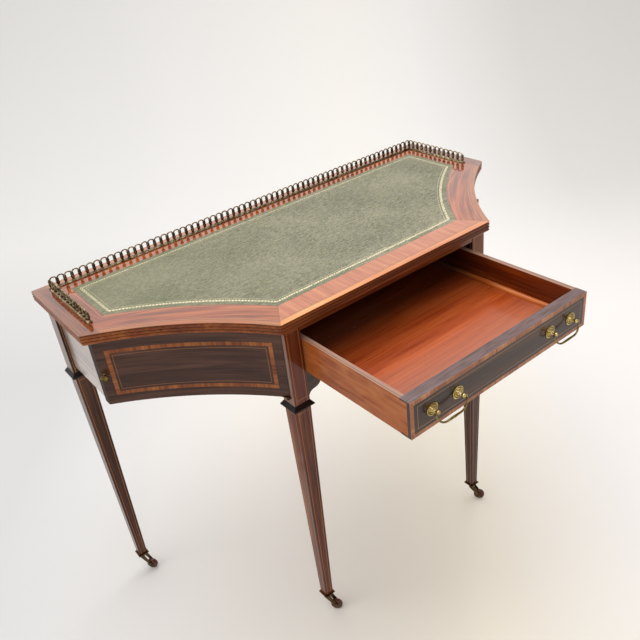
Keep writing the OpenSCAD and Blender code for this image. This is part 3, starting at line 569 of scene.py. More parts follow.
GOLD_TINT = "#e8dcb4"
GOLD_IN = 13.5 * MM
GOLD_HALF = 2.3 * MM
GOLD_EDGE_HALF = 0.45 * MM
THIN_GOLD_IN = 20.5 * MM
THIN_GOLD_HALF = 0.45 * MM
THIN_GOLD_SHARE = 0.6
TOOL_PITCH = 5.5 * MM
DOT_LEVEL = -0.3
GOLD_WEAR = Pattern((260, 260, 260), 2, 0, 0.32, 0.50)
# How much gold is left along each edge of the leather
GOLD_SHARES = {"side": 0.65, "back": 0.55, "front": 1, "corner": 0.95}
HIDE_ROUGH = 0.5
GOLD_ROUGH = 0.32


def gold_tooling(look, spots):
    """Share of gold: a dotted band between two lines, and a thin line inside it."""
    inner = {edge: look.minus(spots[edge], inset) for edge, inset in TOP_INSETS.items()}
    near = look.lowest(*inner.values())
    along = 0
    left = 0
    for edge, share in GOLD_SHARES.items():
        chosen = look.near(inner[edge], near, SAME_PLACE)
        along = look.math("MULTIPLY_ADD", chosen, spots[EDGE_PLACES[edge]], along)
        left = look.math("MULTIPLY_ADD", chosen, share, left)
    wave = look.math("SINE", look.times(along, 2 * math.pi / TOOL_PITCH))
    dots = look.above(wave, DOT_LEVEL)
    band = look.times(look.near(near, GOLD_IN, GOLD_HALF - 2 * GOLD_EDGE_HALF), dots)
    for way in (-1, 1):
        line = look.near(near, GOLD_IN + way * (GOLD_HALF - GOLD_EDGE_HALF), GOLD_EDGE_HALF)
        band = look.highest(band, line)
    thin = look.times(look.near(near, THIN_GOLD_IN, THIN_GOLD_HALF), THIN_GOLD_SHARE)
    wear_and_sheen = look.mask(look.vector(spots["x"], spots["y"], 0), GOLD_WEAR)
    return look.times(look.times(look.highest(band, thin), wear_and_sheen), left)


def leather():
    """Grey-green hide with a tooled gold border."""
    look = Look("leather")
    spots = top_map(look)
    hide, crease = hide_tint(look, spots["x"], spots["y"])
    gold = gold_tooling(look, spots)
    tint = look.mix(gold, hide, colour(GOLD_TINT))
    look.put("Specular IOR Level", 0.4)
    rough = look.spread(gold, 0, 1, HIDE_ROUGH, GOLD_ROUGH)
    return look.surface(tint, rough, crease, strength=0.25, depth=CREASE_DEPTH)


STRING_IN = 5 * MM
STRING_HALF = 0.55 * MM
LEG_STRING = ("#a8683a", 0.85)
# Level lines: below the top of the block, above the collar and under it
BLOCK_LINE_DROP = 6 * MM
BLOCK_LINE_UP = 9 * MM
SHAFT_LINE_DROP = 7 * MM
# Share of the tint on the outer front of a leg's block: painted shade on most legs, painted light on the
# front right one
BLOCK_LIGHT_AND_SHADE_SHARE = 0.6
# Painted reflection of the bright room on a leg's face at the end of the table: tint and share
OUTER_FACE_REFLECTION = ("#b09c90", 0.35)


def leg_lines(look, x, y, z, middle, collar_z):
    """One on the stringing of a leg, just inside each edge and round each panel, else zero."""
    half_width = look.spread(z, FOOT_Z, collar_z, FOOT_W / 2, LEG_W / 2)
    offsets = (look.size(look.minus(look.size(x), middle[0])), look.size(look.minus(y, middle[1])))
    line = 0
    for offset in offsets:
        line = look.highest(line, look.near(look.minus(half_width, offset), STRING_IN, STRING_HALF))
    inner = look.above(look.minus(half_width, look.lowest(*offsets)), STRING_IN)
    block_line = collar_z + COLLAR_H + BLOCK_LINE_UP
    for height in (BLOCK_TOP - BLOCK_LINE_DROP, block_line, collar_z - SHAFT_LINE_DROP):
        line = look.highest(line, look.times(look.near(z, height, STRING_HALF), inner))
    return line


def leg_wood(name, middle, collar_z, tints, block_light_and_shade):
    """Leg wood with pale stringing, a block tinted with painted shade (painted light on the front right
    leg), and a painted reflection on its face at the end of the table.
    """
    look = Look(name)
    x, y, z = look.place()
    tint, pores, rough = grain(look, z, x, y, tints)
    width = look.size(x)
    block = look.above(z, collar_z + COLLAR_H)
    block = look.times(block, look.above(width, middle[0] - LEG_W / 2 + SKIN))
    # Painted shade on the outer front of the block, painted light on the front right leg
    tint = look.stain(tint, block, (block_light_and_shade, BLOCK_LIGHT_AND_SHADE_SHARE))
    tint = look.stain(tint, leg_lines(look, x, y, z, middle, collar_z), LEG_STRING)
    # Painted reflection on the face at the end of the table
    outer = look.times(look.above(width, middle[0] + LEG_W / 2 - SKIN), look.above(z, collar_z))
    tint = look.stain(tint, outer, OUTER_FACE_REFLECTION)
    look.polish(0.4, 0.08)
    return look.surface(tint, rough, pores)


# Crossbanding and stringing of the doors
DOOR_BAND_TOP_IN = 21.5 * MM
DOOR_BAND_LOW_IN = 18 * MM
DOOR_BAND_END_IN = 17.5 * MM
DOOR_BAND_W = 9 * MM
DOOR_BAND_RIM = 0.7 * MM
DOOR_BAND_LINE = (DARK_LINE_TINT, 0.8)
DOOR_STRING_IN = 13 * MM
DOOR_STRING_HALF = 0.5 * MM
DOOR_STRING = ("#96643c", 0.75)
# Faces of a door other than its front: painted shade, gloss and roughness
DULL_PAINTED_SHADE = ("#120604", 0.7)
DULL_GLOSS = 0.1
DULL_ROUGH = 0.7
DOOR_GLOSS = 0.45


def door_spots(look):
    """Places on a door: along it, up it, in from its ends and edges, and in from its crossbanding."""
    x, y, z = look.place()
    out_x = look.times(look.plus(look.size(x), DOOR_ARC.x), -1)
    out_y = look.minus(y, DOOR_ARC.y)
    turn = look.times(look.math("ARCTAN2", out_y, out_x), DOOR_R)
    ends = look.lowest(look.minus(DOOR_START * DOOR_R, turn), look.minus(turn, DOOR_END * DOOR_R))
    top = look.minus(DOOR_TOP, z)
    low = look.minus(z, DOOR_Z)
    reach = look.reach(out_x, out_y)
    return {
        "turn": turn, "z": z, "reach": reach,
        "face": look.below(reach, DOOR_R + SKIN),
        "end_inside": look.minus(ends, DOOR_BAND_END_IN),
        "edge_inside": look.lowest(look.minus(top, DOOR_BAND_TOP_IN), look.minus(low, DOOR_BAND_LOW_IN)),
    }


def door_wood():
    """Dark figured veneer with a light inner stringing, and dull faces all round darkened with painted
    shade.
    """
    look = Look("door_wood")
    spots = door_spots(look)
    tint, pores, rough = grain(look, spots["turn"], spots["z"], spots["reach"], DOOR_TINTS, 2.0, 1.5)
    inside = look.lowest(spots["end_inside"], spots["edge_inside"])
    line = look.times(look.near(inside, DOOR_STRING_IN, DOOR_STRING_HALF), spots["face"])
    tint = look.stain(tint, line, DOOR_STRING)
    end = look.rest(spots["face"])
    # Painted shade on the ends and back of the door
    tint = look.stain(tint, end, DULL_PAINTED_SHADE)
    look.polish(DOOR_GLOSS, 0.1)
    look.put("Coat Weight", look.spread(spots["face"], 0, 1, DULL_GLOSS, DOOR_GLOSS))
    return look.surface(tint, look.spread(end, 0, 1, rough, DULL_ROUGH), pores)


def across_band(look, upright, sideways, height):
    """Directions along and across the grain of a crossbanding, which has one where it stands upright."""
    level = look.rest(upright)
    along = look.plus(look.times(upright, sideways), look.times(level, height))
    across = look.plus(look.times(upright, height), look.times(level, sideways))
    return along, across


def door_band():
    """Crossbanding of the doors, with grain across the band and thin dark lines at its edges."""
    look = Look("door_band")
    spots = door_spots(look)
    inside = look.lowest(spots["end_inside"], spots["edge_inside"])
    upright = look.below(spots["end_inside"], spots["edge_inside"])
    along, across = across_band(look, upright, spots["turn"], spots["z"])
    tint, pores, rough = grain(look, along, across, 0, BAND_TINTS)
    rim = look.plus(look.near(inside, 0, DOOR_BAND_RIM), look.near(inside, DOOR_BAND_W, DOOR_BAND_RIM))
    tint = look.stain(tint, rim, DOOR_BAND_LINE)
    look.polish(DOOR_GLOSS, 0.1)
    return look.surface(tint, rough, pores)


# Stringing and band of the drawer front
FRONT_STRING_END_IN = 15 * MM
FRONT_STRING_EDGE_IN = 13.5 * MM
FRONT_STRING_HALF = 0.45 * MM
FRONT_STRING = ("#b08450", 0.7)
FRONT_BAND_RIM = 0.5 * MM
FRONT_BAND_LINE = (DARK_LINE_TINT, 0.5)
# Painted reflection on the top edge of the drawer front, mottled by noise
FRONT_TOP_REFLECTION_NOISE = Pattern((35, 420, 420), 4, 0, 0.35, 0.65)
FRONT_TOP_REFLECTION_TINT = "#7e686a"
FRONT_TOP_REFLECTION_SHARES = (0.2, 0.7)


def drawer_spots(look):
    """Places on the drawer front: x, y and z, and in from its ends and from its long edges."""
    x, y, z = look.place()
    ends = look.minus(DRAWER_HALF, look.size(x))
    edges = look.lowest(look.minus(DRAWER_TOP, z), look.minus(z, DRAWER_Z))
    return x, y, z, ends, edges


def drawer_front_wood():
    """Dark veneer of the drawer front with a light stringing, and a painted reflection on its top edge."""
    look = Look("drawer_front_wood")
    x, y, z, ends, edges = drawer_spots(look)
    tint, pores, rough = grain(look, x, z, y, CASE_TINTS, figure=1.6)
    inside = look.lowest(look.minus(ends, FRONT_STRING_END_IN), look.minus(edges, FRONT_STRING_EDGE_IN))
    line = look.near(inside, 0, FRONT_STRING_HALF)
    tint = look.stain(tint, look.times(line, look.below(y, DRAWER_FACE + FRONT_SKIN)), FRONT_STRING)
    wear_and_sheen = look.mask(look.vector(x, y, z), FRONT_TOP_REFLECTION_NOISE, *FRONT_TOP_REFLECTION_SHARES)
    top = look.above(z, DRAWER_TOP - SKIN)
    # Grey painted reflection on the top edge
    tint = look.mix(look.times(top, wear_and_sheen), tint, colour(FRONT_TOP_REFLECTION_TINT))
    look.polish(0.5, 0.1)
    return look.surface(tint, rough, pores)


def drawer_band_wood():
    """Crossbanding of the drawer front, with grain running in from each edge."""
    look = Look("drawer_band_wood")
    x, y, z, ends, edges = drawer_spots(look)
    along, across = across_band(look, look.below(ends, edges), x, z)
    tint, pores, rough = grain(look, along, across, y, DRAWER_BAND_TINTS)
    rim = look.near(look.lowest(ends, edges), DRAWER_BAND, FRONT_BAND_RIM)
    tint = look.stain(tint, rim, FRONT_BAND_LINE)
    look.polish(0.5, 0.1)
    return look.surface(tint, rough, pores)


# Painted shade darkens the inside of the drawer behind its front: where that starts and ends, and the
# darkest tint
BACK_SHADE_START = 150 * MM
BACK_SHADE_END = 300 * MM
BACK_SHADE_TINT = "#0e0605"
SIDE_SHADE_SHARE = 0.8
FLOOR_SHADE_SHARE = 0.75
SLIP_SHADE_SHARE = 0.92


def shaded_towards_back(look, tint, y, share):
    """Darkens a tint towards the back of the drawer with painted shade, up to a share of the darkest tint.
    """
    back_shade = look.spread(y, DRAWER_FACE + BACK_SHADE_START, DRAWER_FACE + BACK_SHADE_END, 0, share)
    return look.mix(back_shade, tint, colour(BACK_SHADE_TINT))


# Drawer sides: clouds outside, a painted highlight on the top edge, and a seam along the top
CLOUDS = Pattern((30, 22, 45), 4, 0.6, 0.35, 0.68)
CLOUD_STAIN = ("#bc7a46", 0.4)
SIDE_TOP_HIGHLIGHT = ("#a08474", 0.75)
SEAM = ("#5a2c1a", 0.8)
SEAM_IN = 3.6 * MM
SEAM_HALF = 0.5 * MM


def drawer_side_wood():
    """Wood of the drawer sides: cloudy outside, darker inside the drawer as painted shade that deepens
    towards the back, and a painted highlight on top.
    """
    look = Look("drawer_side_wood")
    x, y, z = look.place()
    tint, pores, rough = grain(look, y, x, z, SIDE_TINTS, fineness=0.8)
    tint = look.stain(tint, look.mask(look.vector(x, y, z), CLOUDS), CLOUD_STAIN)
    inner, _, _ = grain(look, y, x, z, INSIDE_SHADED_TINTS)
    inner = shaded_towards_back(look, inner, y, SIDE_SHADE_SHARE)
    width = look.size(x)
    tint = look.mix(look.below(width, DRAWER_INNER_X + SKIN), tint, inner)
    top = look.above(z, DRAWER_TOP - SKIN)
    # Painted highlight along the top edge
    tint = look.stain(tint, top, SIDE_TOP_HIGHLIGHT)
    tint = look.stain(tint, look.times(top, look.near(width, DRAWER_HALF - SEAM_IN, SEAM_HALF)), SEAM)
    look.polish(0.25, 0.2)
    return look.surface(tint, rough, pores, strength=0.12)


# Bottom board: pale scuffs in a few zones, and a painted sheen near the drawer front
SPECKS = Pattern((160, 190, 100), 4, 0, 0.66, 0.74)
SCUFF_ZONES = Pattern((9, 9, 9), 1, 0, 0.56, 0.66)
SCUFFS = ("#d8b49c", 0.6)
FLOOR_PAINTED_SHEEN = ("#cc9278", 0.5)
PAINTED_SHEEN_FULL = 30 * MM


def drawer_floor_wood():
    """Reddish bottom board with a few pale scuffs, painted shade towards the back and a painted sheen near
    the front.
    """
    look = Look("drawer_floor")
    x, y, z = look.place()
    tint, pores, rough = grain(look, x, y, z, DRAWER_TINTS)
    spot = look.vector(x, y, z)
    tint = look.stain(tint, look.times(look.mask(spot, SPECKS), look.mask(spot, SCUFF_ZONES)), SCUFFS)
    tint = shaded_towards_back(look, tint, y, FLOOR_SHADE_SHARE)
    painted_sheen = look.spread(y, DRAWER_FACE + BACK_SHADE_START, DRAWER_FACE + PAINTED_SHEEN_FULL)
    tint = look.stain(tint, painted_sheen, FLOOR_PAINTED_SHEEN)
    look.polish(0.35, 0.16)
    return look.surface(tint, rough, pores)


def slip_wood():
    """Orange quadrant slips, with painted shade towards the back of the drawer."""
    look = Look("slip_wood")
    x, y, z = look.place()
    tint, pores, rough = grain(look, y, x, z, SLIP_TINTS, fineness=1.5)
    look.polish(0.35, 0.12)
    return look.surface(shaded_towards_back(look, tint, y, SLIP_SHADE_SHARE), rough, pores, strength=0.08)


# Brass: where its three tints lie in the patches, the range shown, and how deep its dents are
BRASS_SPOTS = (0.35, 0.5, 0.68)
PATCH_RANGE = (0.3, 0.7)
DENT_DEPTH = 0.1 * MM


def brass(name, tints, rough_low=0.24, rough_high=0.42, waves=240):
    """Aged brass, darker in patches."""
    look = Look(name)
    patches = look.noise(look.vector(*look.place()), Pattern((waves, waves, waves), 4))
    look.put("Metallic", 1)
    rough = look.spread(patches, *PATCH_RANGE, rough_high, rough_low)
    tint = look.tints(patches, tints, BRASS_SPOTS)
    return look.surface(tint, rough, patches, strength=0.08, depth=DENT_DEPTH)


ROSE_PATCHES = Pattern((90, 90, 90), 2)
# Rose tints, lighter than the handle brass as a painted highlight
ROSE_LIT_TINTS = ("#988042", "#d8bc7a")
ROSE_SPOTS = (0.35, 0.65)
ROSE_ROUGH = (0.16, 0.1)
# Hollows between the rings of a rose: radius and half width
ROSE_HOLLOWS = ((9.2 * MM, 1.2 * MM), (5.8 * MM, 0.9 * MM), (2.9 * MM, 0.5 * MM))
# Dirt and painted shade in those hollows
ROSE_DIRT_AND_SHADE = ("#20180a", 0.85)


def rose_brass():
    """Brass of the handle roses, lightened as a painted highlight and darkened with dirt and painted shade
    in the hollows between their rings.
    """
    look = Look("rose_brass")
    x, y, z = look.place()
    over = look.minus(look.size(look.minus(look.size(x), HANDLE_X)), POST_HALF)
    reach = look.reach(over, look.minus(z, DRAWER_MIDDLE_Z))
    patches = look.noise(look.vector(x, y, z), ROSE_PATCHES)
    tint = look.tints(patches, ROSE_LIT_TINTS, ROSE_SPOTS)
    for hollow, half in ROSE_HOLLOWS:
        tint = look.fade(tint, look.size(look.minus(reach, hollow)), 0, half, ROSE_DIRT_AND_SHADE)
    look.put("Metallic", 1)
    return look.surface(tint, look.spread(patches, *PATCH_RANGE, *ROSE_ROUGH))


GALLERY_PATCHES = Pattern((150, 150, 150), 4)
GALLERY_ROUGH = (0.26, 0.14)
GALLERY_DIRT_AND_SHADE_TINT = "#1a100a"
# Dirt and painted shade up the gallery: height above the top and the share of it there
GALLERY_DIRT_AND_SHADE_SHARES = ((4.5 * MM, 0.1), (5.5 * MM, 0.9), (7.5 * MM, 0.7), (10 * MM, 0.3), (12.5 * MM, 0.5),
                  (14 * MM, 0.95), (15.5 * MM, 0.5), (18 * MM, 0.8), (21 * MM, 0.4), (24 * MM, 0))


def gallery_metal(name, tints):
    """Aged brass, dark with dirt and painted shade in the hollows of the posts, and left bright as painted
    highlights on the rail and on top of the hoops.
    """
    look = Look(name)
    x, y, z = look.place()
    patches = look.noise(look.vector(x, y, z), GALLERY_PATCHES)
    tint = look.tints(patches, tints, BRASS_SPOTS)
    low = GALLERY_DIRT_AND_SHADE_SHARES[0][0]
    high = GALLERY_DIRT_AND_SHADE_SHARES[-1][0]
    stops = []
    for up, share in GALLERY_DIRT_AND_SHADE_SHARES:
        stops.append(((up - low) / (high - low), (1 - share, 1 - share, 1 - share, 1)))
    clean_and_lit = look.ramp(look.spread(look.minus(z, TOP_Z), low, high), stops)
    look.put("Metallic", 1)
    rough = look.spread(patches, *PATCH_RANGE, *GALLERY_ROUGH)
    return look.surface(look.mix(clean_and_lit, colour(GALLERY_DIRT_AND_SHADE_TINT), tint), rough, patches, 0.05, DENT_DEPTH)


GLAZE_SPOTS = Pattern((300, 300, 300))
GLAZE_TINTS = ("#3a1a12", "#5c2e20")
GLAZE_ROUGH = (0.25, 0.4)


def ceramic():
    """Brown glazed ceramic of the castor wheels."""
    look = Look("castor_ceramic")
    spots = look.noise(look.vector(*look.place()), GLAZE_SPOTS)
    look.polish(0.6, 0.1)
    rough = look.spread(spots, *PATCH_RANGE, *GLAZE_ROUGH)
    return look.surface(look.tints(spots, GLAZE_TINTS, ROSE_SPOTS), rough, spots, strength=0.05)


EDGE_WOOD = rim_wood()
GALLERY_BRASS = gallery_metal("gallery_brass", ("#54422e", "#847052", "#ac9878"))
# Side galleries: a lighter copy of the gallery brass, painted light
SIDE_GALLERY_LIT_BRASS = gallery_metal("side_gallery_lit_brass", ("#5e4c30", "#988260", "#d8c8a0"))
HANDLE_BRASS = brass("handle_brass", ("#7a6430", "#947a3e", "#b0965a"), 0.1, 0.16, 60)
ROSE_BRASS = rose_brass()
# Posts: a lighter copy of the handle brass, a painted highlight
POST_LIT_BRASS = brass("post_lit_brass", ("#a88c50", "#d0b47a", "#f0dcac"), 0.1, 0.14, 60)
# Bails: a darker copy of the handle brass, painted shade
BAIL_SHADED_BRASS = brass("bail_shaded_brass", ("#54421e", "#7c6838", "#b09a62"), 0.1, 0.16, 200)
KNOB_BRASS = brass("knob_brass", ("#54421f", "#6e582e", "#8e7444"), 0.2, 0.34, 120)
CASTOR_BRASS = brass("castor_brass", ("#2c2216", "#524028", "#74603c"))
CERAMIC = ceramic()

# Each look and the names of the solids that have it
NODE_LOOKS = (
    (EDGE_WOOD, "top_board top_underboard"),
    (top_veneer(), "top_crossbanding"),
    (leather(), "leather_skiver"),
    (brass("small_brass", ("#5a4626", "#8c7040", "#b09458")), "gallery_pins handle_nuts castor_screws"),
    # The last tint of each leg is painted shade on the front of its block, and painted light on the front
    # right leg
    (leg_wood("front_leg_wood", FRONT_LEG, FRONT_COLLAR_Z, LEG_TINTS, "#5c240c"), "leg_front_left"),
    (leg_wood("right_leg_shaded_wood", FRONT_LEG, FRONT_COLLAR_Z, RIGHT_LEG_SHADED_TINTS, "#925026"), "leg_front_right"),
    (leg_wood("back_leg_wood", BACK_LEG, BACK_COLLAR_Z, BACK_LEG_TINTS, "#160804"),
     "leg_back_left leg_back_right"),
    (plain_wood("ebonised_wood", EBONY_TINTS, gloss=0.25, coat_rough=0.2), "leg_collars"),
    (plain_wood("bead_wood", LEG_TINTS), "collar_beads"),
    (plain_wood("rail_wood", LEG_TINTS), "top_rail"),
    (plain_wood("case_wood", CASE_TINTS), "back_panel kicker_rail drawer_rail rail_brackets"),
    # Pale tints of the side panels are a painted reflection
    (plain_wood("case_side_reflection_wood", SIDE_CASE_REFLECTION_TINTS, "Y", 1.0, 0.22, 0.5, 2.4),
     "side_panel_left side_panel_right"),
    (plain_wood("carcass_wood", CARCASS_TINTS, "Y", gloss=0.05, coat_rough=0.4),
     "partition_left partition_right cupboard_floor_left cupboard_floor_right "
     "drawer_runners drawer_kickers drawer_stops"),
    (brass("hinge_brass", ("#2a1e10", "#4a3820", "#6a5230")),
     "hinge_leg_leaves door_left_hinge_leaves door_right_hinge_leaves"),
    (door_wood(), "door_left door_right"),
    (door_band(), "door_left_crossband door_right_crossband"),
    (KNOB_BRASS, "door_left_knob door_right_knob"),
    (drawer_front_wood(), "drawer_front"),
    (drawer_band_wood(), "drawer_front_banding"),
    (drawer_side_wood(), "drawer_side_left drawer_side_right"),
    (plain_wood("drawer_back_wood", INSIDE_SHADED_TINTS, gloss=0.25, coat_rough=0.25), "drawer_back"),
    (drawer_floor_wood(), "drawer_bottom"),
    (slip_wood(), "drawer_slips"),
    (CASTOR_BRASS, "castor_plates"),
)


def dress_nodes():
    """Gives each solid its look. Those that aren't in the table have finer pieces in their place."""
    looks = {name: look for look, names in NODE_LOOKS for name in names.split()}
    for name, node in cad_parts.items():
        for slot in node.material_slots:
            slot.material = looks.get(name, HANDLE_BRASS)


SHARP_ANGLE = math.radians(38)


def new_object(name, bm, material):
    """Turns a filled bmesh into an object of the scene, smooth except at sharp angles."""
    bmesh.ops.recalc_face_normals(bm, faces=bm.faces)
    mesh = bpy.data.meshes.new(name)
    bm.to_mesh(mesh)
    bm.free()
    mesh.materials.append(material)
    mesh.set_sharp_from_angle(angle=SHARP_ANGLE)
    for face in mesh.polygons:
        face.use_smooth = True
    thing = bpy.data.objects.new(name, mesh)
    bpy.context.scene.collection.objects.link(thing)
    return thing


def new_piece(name, mesh_maker, material, body, slot, *replaced):
    """Makes one piece from a function that fills a bmesh, and sets what it rides on and stands for."""
    bm = bmesh.new()
    mesh_maker(bm)
    piece = new_object(name, bm, material)
    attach(piece, body)
    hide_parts(*replaced)


def in_mm(*rows):
    """Turns rows of millimetres into rows of metres."""
    return [tuple(value * MM for value in row) for row in rows]


def mirrored(points, x=1, y=1):
    """Adds the same points in reverse order, with the given signs."""
    return points + [(x * first, y * second) for first, second in reversed(points)]


def round_angles(count):
    return [2 * math.pi * i / count for i in range(count)]


def add_rings(bm, rings):
    """Joins rings of points, each with the same count, and caps the two ends."""
    rows = [[bm.verts.new(point) for point in ring] for ring in rings]
    count = len(rows[0])
    for low, high in zip(rows, rows[1:]):
        for i in range(count):
            j = (i + 1) % count
            bm.faces.new((low[i], low[j], high[j], high[i]))
    bm.faces.new(rows[0])
    bm.faces.new(list(reversed(rows[-1])))


def add_lathe(bm, profile, where, count):
    """Turns a profile of radius and height pairs round the Z axis of the given matrix."""
    rings = []
    for radius, height in profile:
        rings.append([where @ Vector((radius * math.cos(angle), radius * math.sin(angle), height))
                      for angle in round_angles(count)])
    add_rings(bm, rings)


def add_tube(bm, points, radii, count):
    """Sweeps a round section along points that lie in one plane."""
    rings = []
    plane = (points[0] - points[-1]).cross(points[len(points) // 2] - points[-1])
    side = plane.normalized()
    for i, point in enumerate(points):
        before = points[max(i - 1, 0)]
        after = points[min(i + 1, len(points) - 1)]
        up = side.cross((after - before).normalized())
        rings.append([point + radii[i] * (math.cos(angle) * up + math.sin(angle) * side)
                      for angle in round_angles(count)])
    add_rings(bm, rings)


# Rim of the top: height below the writing surface and inset of each line of its three reeds
RIM = in_mm(
    (1, 0), (1.6, 0.1), (2.2, 0.9), (2.8, 1.5), (3.4, 0.8), (4.6, 0.1), (6.2, 0), (7.8, 0.4),
    (8.6, 1.2), (9.1, 1.8), (9.6, 1.1), (10.8, 0.3), (12.2, 0.1), (13.6, 0.5), (14.4, 1.3), (14.9, 1.9),
    (15.4, 1.2), (16.8, 0.5), (18.2, 0.4), (19.6, 1.0), (21, 2.0))
CORNER_STEPS = 28


def top_outline(inset):
    """Corner points and arcs of the top, drawn in by the inset, on both sides."""
    side = SIDE_X - inset
    front = FRONT_Y + inset
    reach = TOP_ARC_R + inset
    start = math.asin(math.sqrt(reach ** 2 - (side + TOP_ARC.x) ** 2) / reach)
    end = math.asin((front - TOP_ARC.y) / reach)
    left = [(-side, BACK_Y - inset)]
    for i in range(CORNER_STEPS + 1):
        angle = start + (end - start) * i / CORNER_STEPS
        left.append((TOP_ARC.x + reach * math.cos(angle), TOP_ARC.y + reach * math.sin(angle)))
    return mirrored(left, x=-1)


def fill_rim(bm):
    rings = []
    for drop, inset in RIM:
        rings.append([Vector((x, y, TOP_Z - drop)) for x, y in top_outline(inset)])
    add_rings(bm, rings)


# Turned post of the gallery: radius and height above the top
POST_PROFILE = in_mm(
    (0.1, 2.8), (3.3, 2.8), (3.3, 4.2), (2.5, 5.0), (2.4, 6.0), (3.2, 7.4), (3.8, 9.0), (3.9, 11.0),
    (3.4, 12.6), (2.8, 13.6), (3.6, 14.4), (3.6, 15.4), (3.0, 16.2), (3.5, 17.4), (3.1, 18.6), (2.0, 20.0),
    (0.1, 21.0))
# Section of the foot rail: across it and up
RAIL_SECTION = mirrored(in_mm(
    (-4.5, 0), (-4.5, 1.4), (-4.2, 2.0), (-3.5, 2.2), (-3.2, 2.9), (-2.8, 3.2)), x=-1)
SPRING_Z = TOP_Z + GALLERY_H - HOOP_R - ARCH_PITCH / 2
HOOP_STEPS = 12


def hoop_points(middle, way):
    """Points of one half-round hoop over its middle, from post to post."""
    points = []
    for i in range(HOOP_STEPS + 1):
        angle = math.pi * i / HOOP_STEPS
        level = middle - way * math.cos(angle) * ARCH_PITCH / 2
        points.append(Vector((level.x, level.y, SPRING_Z + math.sin(angle) * ARCH_PITCH / 2)))
    return points


def add_gallery_run(bm, start, way, count, first_post=True):
    """Posts and hoops of one side of the gallery, from a start point along a level direction."""
    for i in range(0 if first_post else 1, count + 1):
        spot = start + way * ARCH_PITCH * i
        add_lathe(bm, POST_PROFILE, Matrix.Translation((spot.x, spot.y, TOP_Z)), count=12)
    for i in range(count):
        points = hoop_points(start + way * ARCH_PITCH * (i + 0.5), way)
        add_tube(bm, points, [HOOP_R] * len(points), count=8)


def add_rail(bm, start, end):
    """Foot rail with stepped edges, from one point to the other."""
    way = (end - start).normalized()
    side = Vector((-way.y, way.x, 0))
    rings = []
    for spot in (start, end):
        rings.append([spot + side * across + Vector((0, 0, up)) for across, up in RAIL_SECTION])
    add_rings(bm, rings)


def gallery_corner(side):
    return Vector((side * GALLERY_X, GALLERY_Y, TOP_Z))


def fill_gallery_back(bm):
    add_gallery_run(bm, gallery_corner(-1), Vector((1, 0, 0)), BACK_ARCHES)
    reach = Vector((RAIL_W / 2, 0, 0))
    add_rail(bm, gallery_corner(-1) - reach, gallery_corner(1) + reach)


def fill_gallery_side(bm, side):
    way = Vector((0, -1, 0))
    add_gallery_run(bm, gallery_corner(side), way, SIDE_ARCHES, first_post=False)
    start = gallery_corner(side) + way * RAIL_W / 2
    end = gallery_corner(side) + way * (ARCH_PITCH * SIDE_ARCHES + RAIL_TAIL)
    add_rail(bm, start, end)


# Rose and post of the drawer handles: radius and height out of the drawer front
ROSE_PROFILE = in_mm(
    (0.1, 0), (11.6, 0), (12, 0.5), (11.9, 1.2), (11.2, 1.7), (10.3, 1.6), (9.7, 1.0), (9.0, 0.6),
    (8.4, 0.9), (8.1, 1.8), (7.5, 2.5), (6.7, 2.6), (6.2, 2.1), (5.6, 1.9), (5.0, 2.6), (4.4, 3.8),
    (3.4, 4.4), (2.6, 4.6), (0.1, 4.6))
POST_END_PROFILE = in_mm(
    (0.1, 2), (3.4, 4.2), (2.8, 5.0), (2.4, 6.0), (3.3, 6.7), (3.5, 7.4), (3.0, 8.1), (2.4, 8.6),
    (2.7, 9.6), (3.4, 10.8), (3.6, 12.4), (3.4, 13.8), (2.6, 15.0), (1.4, 15.8), (0.1, 16))
POSTS_X = [way * HANDLE_X + end * POST_HALF for way in (-1, 1) for end in (-1, 1)]
QUARTER_TURN = math.radians(90)


def out_of_drawer(x):
    """Seat of a handle post, with Z out of the drawer front."""
    return Matrix.Translation((x, DRAWER_FACE, DRAWER_MIDDLE_Z)) @ Matrix.Rotation(QUARTER_TURN, 4, "X")


def fill_roses(bm):
    for x in POSTS_X:
        add_lathe(bm, ROSE_PROFILE, out_of_drawer(x), count=40)


def fill_posts(bm):
    for x in POSTS_X:
        add_lathe(bm, POST_END_PROFILE, out_of_drawer(x), count=28)


# Half of a bail: its straight stub, its shoulder as distances in from the side and down, its round
# corner, and shares of the straight stretch at the bottom
BAIL_STUB = 3 * MM
BAIL_SHOULDER = in_mm((1.6, 0), (0.4, 0.6), (0, 2.2))
BAIL_CORNER_STEPS = 12
BAIL_LOW_SHARES = (0.75, 0.5, 0.3, 0.16, 0.12, 0.05)
BAIL_END_R = 1.45 * MM
BAIL_SWELL = 0.7 * MM
BAIL_BEAD_R = 2.2 * MM
BAIL_BEAD_HALF = 1.5 * MM


def bail_path(side):
    """Points of the bail from one pivot down round to the other, in the plane of its pivots."""
    half = [Vector((POST_HALF + BAIL_STUB, 0, 0))]
    half += [Vector((BAIL_SIDE - inwards, 0, -down)) for inwards, down in BAIL_SHOULDER]
    straight = BAIL_SIDE - BAIL_CORNER
    for i in range(BAIL_CORNER_STEPS + 1):
        angle = QUARTER_TURN * i / BAIL_CORNER_STEPS
        down = BAIL_CORNER - BAIL_DROP - BAIL_CORNER * math.sin(angle)
        half.append(Vector((straight + BAIL_CORNER * math.cos(angle), 0, down)))
    for share in BAIL_LOW_SHARES:
        half.append(Vector((straight * share, 0, -BAIL_DROP)))
    other = [Vector((-p.x, p.y, p.z)) for p in reversed(half)]
    seat = Matrix.Translation((side * HANDLE_X, DRAWER_FACE - PIVOT_OUT, DRAWER_MIDDLE_Z))
    seat = seat @ Matrix.Rotation(-BAIL_TILT, 4, "X")
    return [seat @ p for p in half + other]


